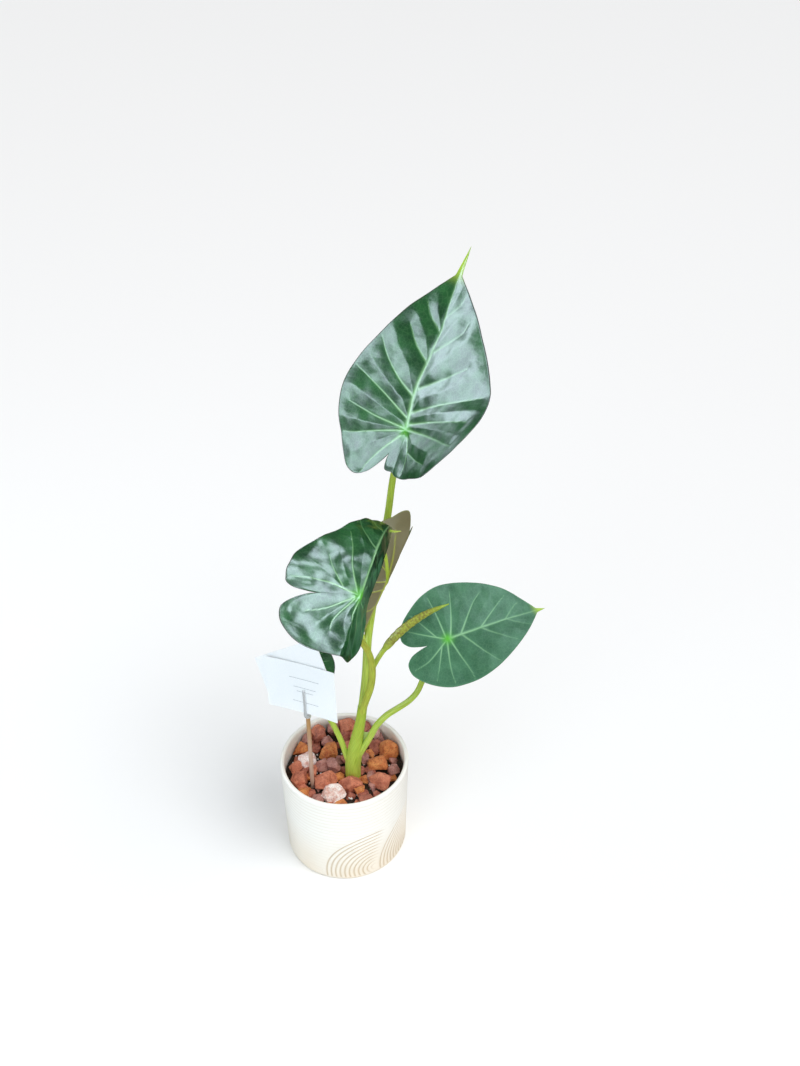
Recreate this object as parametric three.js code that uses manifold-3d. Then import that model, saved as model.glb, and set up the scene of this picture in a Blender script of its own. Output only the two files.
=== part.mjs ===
// A potted alocasia: a round stoneware pot filled with soil, a mulch of lava chips, a plant with
// five arrow-shaped leaves and one leaf still rolled, and two plain cards clipped to a stake.
// Millimetres, +Z up, origin at the middle of the pot's base. The plant is seen from -Y.
import * as THREE from 'three';
import { mergeVertices } from 'three/addons/utils/BufferGeometryUtils.js';
import Module from 'manifold-3d';

const wasm = await Module();
wasm.setup();

// ---------------------------------------------------------------- driving dimensions

const GAP = 0.3; // clearance between pieces that touch

const POT_RADIUS = 70; // outside, at the rim
const POT_FOOT_RADIUS = 67; // outside, at the base
const POT_HEIGHT = 120;
const POT_WALL = 4.8;
const POT_FLOOR = 7;
const RIM_DROP = 2.4; // height of the rounding at the rim
const POT_SIDES = 56;

const SOIL_TOP = 97;
const CROWN_X = 9.5; // where the plant's stem base stands in the soil
const CROWN_Y = -7;
const CROWN_HOLE_RADIUS = 9.2;
const CROWN_HOLE_DEPTH = 32;
const STAKE_X = -33.7;
const STAKE_Y = -23.3;
const STAKE_RADIUS = 2.2;
const STAKE_HOLE_DEPTH = 62;
const STAKE_TOP = 213;

const CHIP_SINK = 0.42; // a chip's middle stands this share of its height above the soil
const FILLER_SPACING = 14.5; // between the small chips that fill the mulch
const FILLER_SIZE = 16;
const FILLER_HEIGHT = 7;
const CHIP_SEED = 11;

const BLADE_THICKNESS = 0.8;
const STEM_SIDES = 10;
const STALK_TRIM = 14; // how far above a blade its stalk is cut away

const CARD_WIDTH = 92;
const CARD_HEIGHT = 53;
const CARD_THICKNESS = 0.6;

const SLEEVE_RADIUS = 3.4; // the clip's sleeve over the stake
const SLEEVE_LENGTH = 12;
const SLEEVE_TOP = 1.5;
const PRONG_WIDTH = 3.4;
const PRONG_THICKNESS = 0.8;

// ---------------------------------------------------------------- materials

const glaze = new THREE.MeshStandardMaterial({ color: 0xece6d6, roughness: 0.55, metalness: 0 });
const soilMatter = new THREE.MeshStandardMaterial({ color: 0x3a2c22, roughness: 1, metalness: 0 });
const lava = new THREE.MeshStandardMaterial({ color: 0xa8523c, roughness: 0.95, metalness: 0 });
const stemGreen = new THREE.MeshStandardMaterial({ color: 0x9cbb45, roughness: 0.5, metalness: 0 });
const stemOlive = new THREE.MeshStandardMaterial({ color: 0x8f9a3c, roughness: 0.5, metalness: 0 });
const leafDark = new THREE.MeshStandardMaterial({ color: 0x1f4a2c, roughness: 0.3, metalness: 0 });
const leafSatin = new THREE.MeshStandardMaterial({ color: 0x3c6f50, roughness: 0.4, metalness: 0 });
const leafBrown = new THREE.MeshStandardMaterial({ color: 0x6f6546, roughness: 0.5, metalness: 0 });
const bamboo = new THREE.MeshStandardMaterial({ color: 0xb08a55, roughness: 0.6, metalness: 0 });
const clearClip = new THREE.MeshStandardMaterial({ color: 0xc9cdd0, roughness: 0.2, metalness: 0 });
const paper = new THREE.MeshStandardMaterial({ color: 0xf4f8fa, roughness: 0.8, metalness: 0 });

// ---------------------------------------------------------------- solids and booleans

function indexed(points, triangles) {
  const geometry = new THREE.BufferGeometry();
  geometry.setAttribute('position', new THREE.Float32BufferAttribute(points, 3));
  geometry.setIndex(triangles);
  return geometry;
}

function toSolid(geometry) {
  const bare = geometry.clone();
  bare.deleteAttribute('normal');
  bare.deleteAttribute('uv');
  const merged = mergeVertices(bare, 1e-4);
  const vertProperties = new Float32Array(merged.getAttribute('position').array);
  const triVerts = new Uint32Array(merged.index.array);
  return new wasm.Manifold(new wasm.Mesh({ numProp: 3, vertProperties, triVerts }));
}

function fromSolid(solid) {
  const mesh = solid.getMesh();
  return indexed(Array.from(mesh.vertProperties), Array.from(mesh.triVerts));
}

// The largest of the bodies that a cut leaves.
function largest(solid) {
  const bodies = solid.decompose();
  return bodies.reduce((best, body) => (body.volume() > best.volume() ? body : best));
}

function cut(geometry, ...cutters) {
  let solid = toSolid(geometry);
  for (const cutter of cutters) solid = solid.subtract(toSolid(cutter));
  return fromSolid(largest(solid));
}

// A repeatable sequence of numbers from 0 to 1.
function seededRandom(seed) {
  let state = seed;
  return () => {
    state = (state * 48271) % 2147483647;
    return state / 2147483647;
  };
}

// A smooth curve through the knots that never overshoots them.
function monotoneCurve(xs, ys) {
  const steps = xs.slice(1).map((x, i) => x - xs[i]);
  const slopes = steps.map((step, i) => (ys[i + 1] - ys[i]) / step);
  const edge = (h0, h1, s0, s1) => {
    const d = ((2 * h0 + h1) * s0 - h0 * s1) / (h0 + h1);
    if (Math.sign(d) !== Math.sign(s0)) return 0;
    if (Math.sign(s0) !== Math.sign(s1) && Math.abs(d) > 3 * Math.abs(s0)) return 3 * s0;
    return d;
  };
  const tangents = xs.map((x, i) => {
    if (i === 0) return edge(steps[0], steps[1], slopes[0], slopes[1]);
    if (i === xs.length - 1) {
      return edge(steps[i - 1], steps[i - 2], slopes[i - 1], slopes[i - 2]);
    }
    if (slopes[i - 1] * slopes[i] <= 0) return 0;
    const w1 = 2 * steps[i] + steps[i - 1];
    const w2 = steps[i] + 2 * steps[i - 1];
    return (w1 + w2) / (w1 / slopes[i - 1] + w2 / slopes[i]);
  });
  return (x) => {
    const last = xs.length - 2;
    const i = Math.min(last, Math.max(0, xs.findIndex((knot) => knot > x) - 1));
    const k = x >= xs[last + 1] ? last : i;
    const t = Math.min(1, Math.max(0, (x - xs[k]) / steps[k]));
    const a = (1 + 2 * t) * (1 - t) ** 2 * ys[k] + t * t * (3 - 2 * t) * ys[k + 1];
    const b = t * (1 - t) ** 2 * tangents[k] - t * t * (1 - t) * tangents[k + 1];
    return a + steps[k] * b;
  };
}

function smoothstep(low, high, x) {
  const t = Math.min(1, Math.max(0, (x - low) / (high - low)));
  return t * t * (3 - 2 * t);
}

// ---------------------------------------------------------------- pot and soil

// The outside wall leans out a little from the foot to a rounded rim.
function potGeometry() {
  const inner = POT_RADIUS - POT_WALL;
  const floorInner = POT_FOOT_RADIUS - POT_WALL;
  const profile = [
    [0, 0],
    [POT_FOOT_RADIUS - 3, 0],
    [POT_FOOT_RADIUS - 0.9, 0.9],
    [POT_FOOT_RADIUS, 3],
    [POT_RADIUS, POT_HEIGHT - RIM_DROP],
    [POT_RADIUS - 0.8, POT_HEIGHT - 0.6],
    [POT_RADIUS - POT_WALL / 2, POT_HEIGHT],
    [inner + 0.8, POT_HEIGHT - 0.6],
    [inner, POT_HEIGHT - RIM_DROP],
    [floorInner, POT_FLOOR],
    [0, POT_FLOOR],
  ];
  return lathe(profile, POT_SIDES);
}

function lathe(profile, sides) {
  const geometry = new THREE.LatheGeometry(profile.map(([r, z]) => new THREE.Vector2(r, z)), sides);
  geometry.rotateX(Math.PI / 2);
  return geometry;
}

function potInnerRadius(z) {
  const share = (z - POT_FLOOR) / (POT_HEIGHT - RIM_DROP - POT_FLOOR);
  return POT_FOOT_RADIUS - POT_WALL + share * (POT_RADIUS - POT_FOOT_RADIUS);
}

function upright(radius, bottom, top, sides, x, y) {
  const geometry = new THREE.CylinderGeometry(radius, radius, top - bottom, sides);
  geometry.rotateX(Math.PI / 2);
  geometry.translate(x, y, (top + bottom) / 2);
  return geometry;
}

function soilGeometry() {
  const bottom = POT_FLOOR + GAP;
  const plug = lathe([
    [0, bottom],
    [potInnerRadius(bottom) - GAP, bottom],
    [potInnerRadius(SOIL_TOP) - GAP, SOIL_TOP],
    [0, SOIL_TOP],
  ], POT_SIDES);
  const above = SOIL_TOP + 5;
  const crownFloor = SOIL_TOP - CROWN_HOLE_DEPTH;
  const stakeFloor = SOIL_TOP - STAKE_HOLE_DEPTH;
  const stakeHole = STAKE_RADIUS + GAP;
  return cut(
    plug,
    upright(CROWN_HOLE_RADIUS, crownFloor, above, 16, CROWN_X, CROWN_Y),
    upright(stakeHole, stakeFloor, above, 10, STAKE_X, STAKE_Y),
  );
}

// ---------------------------------------------------------------- lava chips

// The large chips that show: middle, width and height as they lie, in millimetres. A fifth number
// lifts a chip of the second layer, which heaps the mulch up against the back of the rim.
const CHIPS = [
  [-30, 45, 17, 19], [-20, 38, 12, 14], [-2, 50, 16, 15], [-51, 26, 15, 15], [-33, 30, 15, 10],
  [-18, 21, 25, 14], [-40, 9, 22, 14], [-53, 0, 16, 15], [-25, 2, 14, 17], [-12, 0, 15, 18],
  [-49, -17, 19, 15], [-35, -8, 12, 14], [-41, -36, 14, 12], [-18, -20, 22, 16],
  [-27, -44, 16, 9], [-10, -40, 22, 17], [7, -25, 22, 18], [18, -33, 12, 12],
  [26, -46, 20, 11], [28, -13, 13, 10], [42, -21, 22, 17], [53, -5, 15, 14], [37, 5, 22, 16],
  [49, 23, 22, 18], [32, 31, 15, 16], [38, 43, 17, 12], [-44, 36, 13, 12], [18, 50, 16, 13],
  [4, 32, 15, 12], [18, 18, 14, 11], [2, 14, 13, 11], [-14, 56, 15, 18], [9, 57, 15, 18],
  [-41, 45, 14, 16], [31, 51, 16, 17], [50, 35, 14, 15],
  [-30, 48, 18, 15, 7], [-14, 54, 15, 13, 8], [0, 55, 18, 15, 8], [21, 56, 14, 13, 7],
  [-43, 38, 14, 12, 5], [10, 46, 13, 12, 6],
];

function chip(x, y, size, thickness, lift, random) {
  const geometry = new THREE.IcosahedronGeometry(1, 0);
  geometry.deleteAttribute('normal');
  geometry.deleteAttribute('uv');
  const rock = mergeVertices(geometry, 1e-4);
  const position = rock.getAttribute('position');
  const turn = random() * Math.PI;
  const long = 1 + 0.12 * random();
  const euler = new THREE.Euler(random() * Math.PI, random() * Math.PI, random() * Math.PI);
  for (let i = 0; i < position.count; i += 1) {
    const corner = new THREE.Vector3().fromBufferAttribute(position, i).applyEuler(euler);
    corner.multiplyScalar(0.94 + 0.3 * random());
    corner.multiply(new THREE.Vector3(size * 0.54 * long, size * 0.5, thickness * 0.55));
    corner.applyAxisAngle(new THREE.Vector3(0, 0, 1), turn);
    const reach = Math.hypot(corner.x + x, corner.y + y);
    const limit = potInnerRadius(SOIL_TOP) - 2 * GAP;
    const pull = reach > limit ? limit / reach : 1;
    const px = (corner.x + x) * pull;
    const py = (corner.y + y) * pull;
    position.setXYZ(i, px, py, corner.z + SOIL_TOP + lift + thickness * CHIP_SINK);
  }
  return rock;
}

// Large chips as they lie in the pot, with small ones in a jittered triangular layout between
// them, all grown together as one mulch that rests on the soil, clear of the stem and the stake.
function mulchGeometry() {
  const random = seededRandom(CHIP_SEED);
  const chips = CHIPS.map(([x, y, size, thickness, lift = 0]) => (
    chip(x, y, size, thickness, lift, random)));
  const reach = potInnerRadius(SOIL_TOP) - FILLER_SIZE * 0.5;
  const rowStep = FILLER_SPACING * Math.sqrt(0.75);
  const rows = Math.ceil(reach / rowStep);
  for (let row = -rows; row <= rows; row += 1) {
    const shift = row % 2 === 0 ? 0 : FILLER_SPACING / 2;
    for (let column = -rows; column <= rows; column += 1) {
      const x = column * FILLER_SPACING + shift + 2 * (random() - 0.5);
      const y = row * rowStep + 2 * (random() - 0.5);
      const covered = CHIPS.some(([cx, cy, size]) => Math.hypot(x - cx, y - cy) < 0.4 * size);
      if (Math.hypot(x, y) < reach && !covered) {
        chips.push(chip(x, y, FILLER_SIZE, FILLER_HEIGHT, 0, random));
      }
    }
  }
  const low = SOIL_TOP + GAP;
  const whole = wasm.Manifold.union(chips.map(toSolid));
  const bed = upright(POT_RADIUS, low - 20, low, 16, 0, 0);
  const stem = upright(CROWN_HOLE_RADIUS + GAP, low - 30, low + 40, 12, CROWN_X, CROWN_Y);
  const stake = upright(STAKE_RADIUS + 2 * GAP, low - 30, low + 40, 8, STAKE_X, STAKE_Y);
  const cleared = whole.subtract(toSolid(bed)).subtract(toSolid(stem)).subtract(toSolid(stake));
  return fromSolid(largest(cleared));
}

// ---------------------------------------------------------------- stems

// A closed round stem along a smooth path. Each point is [x, y, z, radius]. A swell adds to
// every radius, for a cutter that leaves a gap round the stem.
function stem(points, steps, sides = STEM_SIDES, swell = 0) {
  const path = new THREE.CatmullRomCurve3(
    points.map(([x, y, z]) => new THREE.Vector3(x, y, z)),
    false,
    'centripetal',
  );
  const last = points.length - 1;
  const along = (t) => {
    const i = Math.min(last - 1, Math.floor(t * last));
    return points[i][3] + (points[i + 1][3] - points[i][3]) * (t * last - i);
  };
  const rings = [];
  let side = new THREE.Vector3(1, 0, 0);
  for (let i = 0; i <= steps; i += 1) {
    const t = i / steps;
    const tangent = path.getTangent(t);
    const centre = path.getPoint(t);
    if (i === 0) centre.addScaledVector(tangent, -swell);
    if (i === steps) centre.addScaledVector(tangent, swell);
    side = side.clone().addScaledVector(tangent, -side.dot(tangent)).normalize();
    const other = new THREE.Vector3().crossVectors(tangent, side);
    const radius = along(t) + swell;
    const ring = [];
    for (let k = 0; k < sides; k += 1) {
      const angle = (2 * Math.PI * k) / sides;
      ring.push(
        centre.clone()
          .addScaledVector(side, radius * Math.cos(angle))
          .addScaledVector(other, radius * Math.sin(angle)),
      );
    }
    rings.push({ centre, ring });
  }
  const corners = [rings[0].centre, ...rings.flatMap(({ ring }) => ring), rings[steps].centre];
  const end = corners.length - 1;
  const triangles = [];
  for (let k = 0; k < sides; k += 1) {
    const next = (k + 1) % sides;
    triangles.push(0, 1 + next, 1 + k);
    triangles.push(end, end - sides + k, end - sides + next);
    for (let i = 0; i < steps; i += 1) {
      const a = 1 + i * sides + k;
      const b = 1 + i * sides + next;
      triangles.push(a, b, b + sides, a, b + sides, a + sides);
    }
  }
  return indexed(corners.flatMap((corner) => corner.toArray()), triangles);
}

// ---------------------------------------------------------------- leaf blades

// The outline of an arrow-shaped blade: the reach from the stalk's joint, as a share of the
// blade's length, at angles in degrees from the tip. It is drawn in to a notch at the back.
const outline = monotoneCurve(
  [0, 8, 18, 32, 50, 75, 100, 125, 148, 163, 172, 177, 180],
  [1, 0.88, 0.775, 0.665, 0.575, 0.515, 0.475, 0.46, 0.46, 0.43, 0.36, 0.26, 0.19],
);
const SHAPE_ANGLES = [0, 25, 75, 125, 160, 180]; // where a leaf's own fullness is given
const SPOKES = [0, 3, 9, 18, 29, 41, 54, 68, 82, 96, 110, 123, 135, 146, 155, 163, 170, 176, 180];
const RINGS = [0.15, 0.33, 0.52, 0.7, 0.86, 1];

// Each leaf: the stalk's joint, the blade's length from joint to tip, its turn about Z, rise
// about X and roll about its midrib, how far each quarter is folded up or down, how the midrib
// arches, twists and sways, where the notch lies, the fullness of the left and right sides at
// SHAPE_ANGLES, the height and count of the waves along its edge, and its drip tip's length.
const LEAVES = {
  leaf_1: {
    joint: [66.3, 50, 491.6], length: 153.6, turn: -0.54, rise: 1.04, roll: -0.28,
    fold: { tipLeft: 0.23, tipRight: 0.18, backLeft: 0.22, backRight: 0.46 },
    arch: -0.16, backArch: 0.05, twist: 0.15, sway: -0.04, skew: 0.44,
    left: [1, 1, 1.11, 1.02, 1.02, 0.94], right: [1, 1.05, 1.32, 0.75, 0.61, 0.94],
    wave: 2.2, waves: 5, drip: 26, material: leafDark,
  },
  leaf_2: {
    joint: [28.9, -124.4, 430.8], length: 159.7, turn: -0.29, rise: 0.37, roll: 0.77,
    fold: { tipLeft: -0.37, tipRight: -1.05, backLeft: -0.18, backRight: -0.86 },
    arch: -1.02, backArch: -0.18, twist: -0.14, sway: -0.55, skew: 1.14,
    left: [1, 0.84, 0.78, 0.87, 0.89, 1.46], right: [1, 0.83, 0.74, 0.76, 1.04, 1.46],
    wave: 2.5, waves: 6, drip: 9, material: leafDark,
  },
  leaf_3: {
    joint: [108.4, 0, 284.3], length: 106.6, turn: -1.28, rise: 0.21, roll: 0.5,
    fold: { tipLeft: 0.13, tipRight: 0.24, backLeft: 0.17, backRight: 0.1 },
    arch: -0.48, backArch: -0.13, twist: -0.03, sway: 0.09, skew: 0.02,
    left: [1, 1.05, 1.04, 0.98, 1.01, 1.06], right: [1, 0.94, 1.01, 1.04, 1.06, 1.06],
    wave: 1.2, waves: 5, drip: 10, material: leafSatin,
  },
  leaf_4: {
    joint: [-35, 38, 222], length: 54, turn: -2.9, rise: -0.3, roll: -0.1,
    fold: { tipLeft: 0.15, tipRight: 0.15, backLeft: 0.15, backRight: 0.15 },
    arch: -0.2, backArch: 0, twist: 0, sway: 0, skew: 0,
    left: [1, 0.95, 0.95, 0.95, 0.95, 1], right: [1, 0.95, 0.95, 0.95, 0.95, 1],
    wave: 0.8, waves: 4, drip: 1.5, material: leafDark,
  },
  leaf_5: {
    joint: [47.9, 20, 338.9], length: 98, turn: 1.475, rise: -1.21, roll: 1.733,
    fold: { tipLeft: 0.05, tipRight: 1.7, backLeft: 0.05, backRight: 1.7 },
    arch: 0.05, backArch: 0.55, twist: 0, sway: 0, skew: 0,
    left: [1, 1, 1, 1.15, 1.6, 2.9], right: [1, 0.5, 0.5, 0.6, 0.8, 2.9],
    wave: 0.8, waves: 4, drip: 0.5, material: leafBrown,
  },
};

// The midrib is a stretch of a helix with constant arch, twist and sway.
function midribAt(rates, distance) {
  const rate = rates.length();
  const axis = rates.clone().divideScalar(rate);
  const forward = new THREE.Vector3(0, 1, 0);
  const angle = rate * distance;
  const place = forward.clone().multiplyScalar(Math.sin(angle) / rate);
  const sideways = new THREE.Vector3().crossVectors(axis, forward);
  place.addScaledVector(sideways, (1 - Math.cos(angle)) / rate);
  place.addScaledVector(axis, (distance - Math.sin(angle) / rate) * axis.y);
  return { place, turn: new THREE.Quaternion().setFromAxisAngle(axis, angle) };
}

// The point of a leaf's surface at an angle from the tip (side -1 left, 1 right) and at a share
// of the way from the joint to the edge.
function leafPoint(leaf, side, degrees, share, beyond = 0) {
  const fullness = monotoneCurve(SHAPE_ANGLES, side < 0 ? leaf.left : leaf.right);
  const angle = THREE.MathUtils.degToRad(degrees);
  const skewed = angle * (1 + (side * leaf.skew) / Math.PI);
  const reach = share * leaf.length * outline(degrees) * fullness(degrees) + beyond;
  const u = side * reach * Math.sin(skewed);
  const v = reach * Math.cos(skewed);
  const { tipLeft, tipRight, backLeft, backRight } = leaf.fold;
  const toTip = smoothstep(-0.25, 0.35, v / leaf.length);
  const fold = u < 0
    ? backLeft + (tipLeft - backLeft) * toTip
    : backRight + (tipRight - backRight) * toTip;
  const calm = smoothstep(0, 0.35, angle) * (1 - smoothstep(2.8, Math.PI, angle));
  const wave = leaf.wave * Math.sin(leaf.waves * angle + side) * share ** 3 * calm;
  const rates = v > 0
    ? new THREE.Vector3(leaf.arch, leaf.twist, leaf.sway)
    : new THREE.Vector3(leaf.backArch || 1e-4, 0, 0);
  const { place, turn } = midribAt(rates.divideScalar(leaf.length), v);
  const across = new THREE.Vector3(u * Math.cos(fold), 0, Math.abs(u) * Math.sin(fold) + wave);
  return across.applyQuaternion(turn).add(place)
    .applyAxisAngle(new THREE.Vector3(0, 1, 0), leaf.roll)
    .applyAxisAngle(new THREE.Vector3(1, 0, 0), leaf.rise)
    .applyAxisAngle(new THREE.Vector3(0, 0, 1), leaf.turn)
    .add(new THREE.Vector3(...leaf.joint));
}

// The blade's middle surface: rings of points round the joint, and a drip tip beyond the last.
function leafSheet(leaf, rings, withTip) {
  const spokes = [
    ...SPOKES.map((degrees) => [1, degrees]),
    ...SPOKES.slice(1, -1).reverse().map((degrees) => [-1, degrees]),
  ];
  const count = spokes.length;
  const points = [leafPoint(leaf, 1, 0, 0)];
  for (const ring of rings) {
    for (const [side, degrees] of spokes) points.push(leafPoint(leaf, side, degrees, ring));
  }
  const triangles = [];
  for (let k = 0; k < count; k += 1) {
    const next = (k + 1) % count;
    triangles.push([0, 1 + next, 1 + k]);
    for (let ring = 0; ring + 1 < rings.length; ring += 1) {
      const a = 1 + ring * count + k;
      const b = 1 + ring * count + next;
      triangles.push([a, b, b + count], [a, b + count, a + count]);
    }
  }
  if (withTip) {
    let row = [points.length - 1, points.length - count, points.length - count + 1];
    const ends = row.map((index) => points[index].clone());
    for (const share of [0.3, 0.65]) {
      const middle = leafPoint(leaf, 1, 0, 1, leaf.drip * share);
      const fresh = points.length;
      ends.forEach((end) => {
        const spread = end.clone().sub(ends[1]).multiplyScalar(0.62 * (1 - share));
        points.push(middle.clone().add(spread));
      });
      triangles.push([row[0], fresh + 1, fresh], [row[0], row[1], fresh + 1]);
      triangles.push([row[1], row[2], fresh + 2], [row[1], fresh + 2, fresh + 1]);
      row = [fresh, fresh + 1, fresh + 2];
    }
    points.push(leafPoint(leaf, 1, 0, 1, leaf.drip));
    triangles.push([row[0], row[1], points.length - 1], [row[1], row[2], points.length - 1]);
  }
  return { points, triangles };
}

// A sheet given thickness: the same triangles above and below, joined along the edge.
function thicken({ points, triangles }, above, below) {
  const normals = points.map(() => new THREE.Vector3());
  const facing = points.map(() => []);
  for (const [a, b, c] of triangles) {
    const ab = points[b].clone().sub(points[a]);
    const ac = points[c].clone().sub(points[a]);
    const normal = ab.cross(ac);
    [a, b, c].forEach((index) => {
      normals[index].add(normal);
      facing[index].push(normal.clone().normalize());
    });
  }
  // At a fold the corners stand out further, so that the sheet stays as thick there.
  normals.forEach((normal, i) => {
    normal.normalize();
    const least = Math.min(...facing[i].map((face) => face.dot(normal)));
    normal.divideScalar(Math.max(0.62, least));
  });
  const corners = [];
  points.forEach((point, i) => {
    corners.push(...point.clone().addScaledVector(normals[i], above).toArray());
  });
  points.forEach((point, i) => {
    corners.push(...point.clone().addScaledVector(normals[i], -below).toArray());
  });
  const count = points.length;
  const faces = [];
  const edges = new Map();
  for (const [a, b, c] of triangles) {
    faces.push(a, b, c, count + a, count + c, count + b);
    for (const [from, to] of [[a, b], [b, c], [c, a]]) {
      if (!edges.delete(`${to}_${from}`)) edges.set(`${from}_${to}`, [from, to]);
    }
  }
  for (const [from, to] of edges.values()) {
    faces.push(to, from, count + from, to, count + from, count + to);
  }
  return indexed(corners, faces);
}

function bladeGeometry(leaf) {
  return thicken(leafSheet(leaf, RINGS, true), BLADE_THICKNESS / 2, BLADE_THICKNESS / 2);
}

// What a blade cuts from the top of its stalk: the blade's middle, with the gap, and the space
// above it.
function bladeCutter(leaf) {
  return thicken(leafSheet(leaf, RINGS.slice(0, 2), false), STALK_TRIM, BLADE_THICKNESS / 2 + GAP);
}

// ---------------------------------------------------------------- the plant's stems

const CROWN = [
  [CROWN_X, CROWN_Y, SOIL_TOP - CROWN_HOLE_DEPTH + GAP, 8.4],
  [CROWN_X, CROWN_Y, 84, 8.6],
  [CROWN_X, CROWN_Y, 102, 8.4],
  [10, -7.5, 118, 8.5],
  [12, -7.2, 133, 8.3],
  [13.8, -6.8, 147, 7.1],
  [16.1, -6, 161.1, 6],
  [19.1, -5, 177.5, 5.2],
  [21.6, -3.6, 197, 4.9],
];

// Each stalk runs from inside what carries it to the joint of its blade.
const STALKS = {
  leaf_1: [
    [20.6, -4.6, 189, 4.4], [23.8, 2, 214.7, 4.2], [25.5, 9, 231.8, 4.1], [27.5, 27, 261.8, 4],
    [31.8, 44, 287.7, 3.9], [38.3, 54, 331.1, 3.8], [48.7, 61, 392.6, 3.4], [53.9, 60, 435.2, 3.1],
    [59.8, 56, 465.9, 2.9], [66.3, 50, 491.6, 2.8],
  ],
  leaf_2: [
    [20, -5, 185, 3.4], [23.3, -7, 201.1, 3.7], [31.3, -14, 235.9, 3.6], [33, -22, 268, 3.4],
    [29.8, -32, 294.3, 3.2], [22, -48, 325, 3], [13, -72, 362, 2.8], [15, -100, 401, 2.6],
    [21.8, -116, 420, 2.5], [28.9, -124.4, 430.8, 2.5],
  ],
  leaf_3: [
    [11, -8, 121, 2.9], [16.5, -9.5, 132, 3.3], [28.9, -10, 159.2, 3.4], [36.6, -10, 176.6, 3.4],
    [47.1, -8, 188.9, 3.3], [58.6, -6, 196.9, 3.2], [70.1, -4, 205.4, 3.1], [78.3, -2, 215.5, 3],
    [84, 1, 229, 2.9], [93.3, 3, 254.4, 2.7], [101, 2, 270, 2.5], [108.4, 0, 284.3, 2.4],
  ],
  leaf_4: [
    [9, -7, 112, 2.9], [4, -6.5, 123, 3], [-1.4, -4.5, 145, 3], [-9, -1, 165, 2.9],
    [-20, 8, 184, 2.7], [-29, 22, 204, 2.5], [-35, 38, 222, 2.3],
  ],
  leaf_5: [
    [31, -27, 282, 2.4], [23.9, -22, 306, 2.3], [21.6, -14, 325.5, 2.2], [22.5, -8, 351, 2],
    [26.6, -3, 376.6, 1.9], [34.3, 2, 391.5, 1.8], [41.7, 9, 390.2, 1.8], [46.3, 13, 377.6, 1.8],
    [48.3, 15, 355, 1.8], [47.9, 20, 338.9, 1.8],
  ],
};

const ROLLED = [
  [31.5, -19, 256, 2.3], [35, -16.5, 264, 2.5], [39.8, -14, 272.8, 2.5], [45.2, -10.6, 280, 2.6],
  [48.5, -9.5, 284, 3.6], [61.4, -6, 298.5, 3.9], [74.9, 0, 307.1, 3.5], [88.3, 4, 314, 2.6],
  [101, 7.5, 318.5, 1.3], [109.1, 10, 320.5, 0.5],
];

// ---------------------------------------------------------------- cards, clip and stake

// The cards stand in one leaning plane in front of the top of the stake.
const CARD_RIGHT = new THREE.Vector3(0.806, -0.547, 0.228).normalize();
const CARD_FACE = CARD_RIGHT.clone().cross(new THREE.Vector3(-0.051, 0.32, 0.945)).normalize();
const CARD_UP = CARD_FACE.clone().cross(CARD_RIGHT);
const CARD_ORIGIN = new THREE.Vector3(STAKE_X, STAKE_Y, 225).addScaledVector(CARD_FACE, 2.5);

function cardPoint(right, up, front) {
  return CARD_ORIGIN.clone()
    .addScaledVector(CARD_RIGHT, right)
    .addScaledVector(CARD_UP, up)
    .addScaledVector(CARD_FACE, front);
}

// A card bent a little about its height: its side edges stand forward of its middle.
function cardGeometry(right, up, front, tilt, bend) {
  const columns = 6;
  const points = [];
  const triangles = [];
  const angle = THREE.MathUtils.degToRad(tilt);
  for (let i = 0; i <= columns; i += 1) {
    const across = (i / columns - 0.5) * CARD_WIDTH;
    const bow = bend * (2 * (i / columns) - 1) ** 2;
    for (const rise of [-CARD_HEIGHT / 2, CARD_HEIGHT / 2]) {
      const x = right + across * Math.cos(angle) - rise * Math.sin(angle);
      const y = up + across * Math.sin(angle) + rise * Math.cos(angle);
      points.push(cardPoint(x, y, front + bow));
    }
    if (i === 0) continue;
    const a = 2 * (i - 1);
    triangles.push([a, a + 2, a + 3], [a, a + 3, a + 1]);
  }
  return thicken({ points, triangles }, CARD_THICKNESS / 2, CARD_THICKNESS / 2);
}

// One of the clip's prongs, between points given on the cards' plane as [right, up, front].
function strip(route) {
  const half = PRONG_WIDTH / 2;
  const points = [];
  const triangles = [];
  route.forEach(([right, up, front], i) => {
    points.push(cardPoint(right - half, up, front), cardPoint(right + half, up, front));
    if (i === 0) return;
    const a = 2 * (i - 1);
    triangles.push([a, a + 1, a + 3], [a, a + 3, a + 2]);
  });
  return thicken({ points, triangles }, PRONG_THICKNESS / 2, PRONG_THICKNESS / 2);
}

// A sleeve over the top of the stake, with one prong in front of the cards and one behind.
function clipGeometry() {
  const low = STAKE_TOP - SLEEVE_LENGTH;
  const top = STAKE_TOP + SLEEVE_TOP;
  const bore = toSolid(upright(STAKE_RADIUS + GAP, low - 5, STAKE_TOP + GAP, 10, STAKE_X, STAKE_Y));
  const sleeve = toSolid(upright(SLEEVE_RADIUS, low, top, 12, STAKE_X, STAKE_Y));
  const front = [
    [0, -20, -6], [0, -19.5, -1], [0, -17.5, 1.3], [0, -12, 1.3], [0, 0, 1.1], [0, 11, 1.9],
  ];
  const back = [[0, -14, -6.5], [0, -9, -3.2], [0, 0, -2.5], [0, 8, -2.9]];
  const prongs = toSolid(strip(front)).add(toSolid(strip(back)));
  return fromSolid(sleeve.add(prongs).subtract(bore));
}

// ---------------------------------------------------------------- the whole

const whole = new THREE.Group();

function add(name, geometry, material) {
  const mesh = new THREE.Mesh(geometry, material);
  mesh.name = name;
  whole.add(mesh);
}

add('pot', potGeometry(), glaze);
add('soil', soilGeometry(), soilMatter);
add('lava_gravel', mulchGeometry(), lava);

const crownSwollen = stem(CROWN, 24, 16, GAP);
add('crown', stem(CROWN, 24, 16), stemGreen);

function stalk(name, swell = 0) {
  return stem(STALKS[name], 2 * (STALKS[name].length - 1), STEM_SIDES, swell);
}

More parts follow.
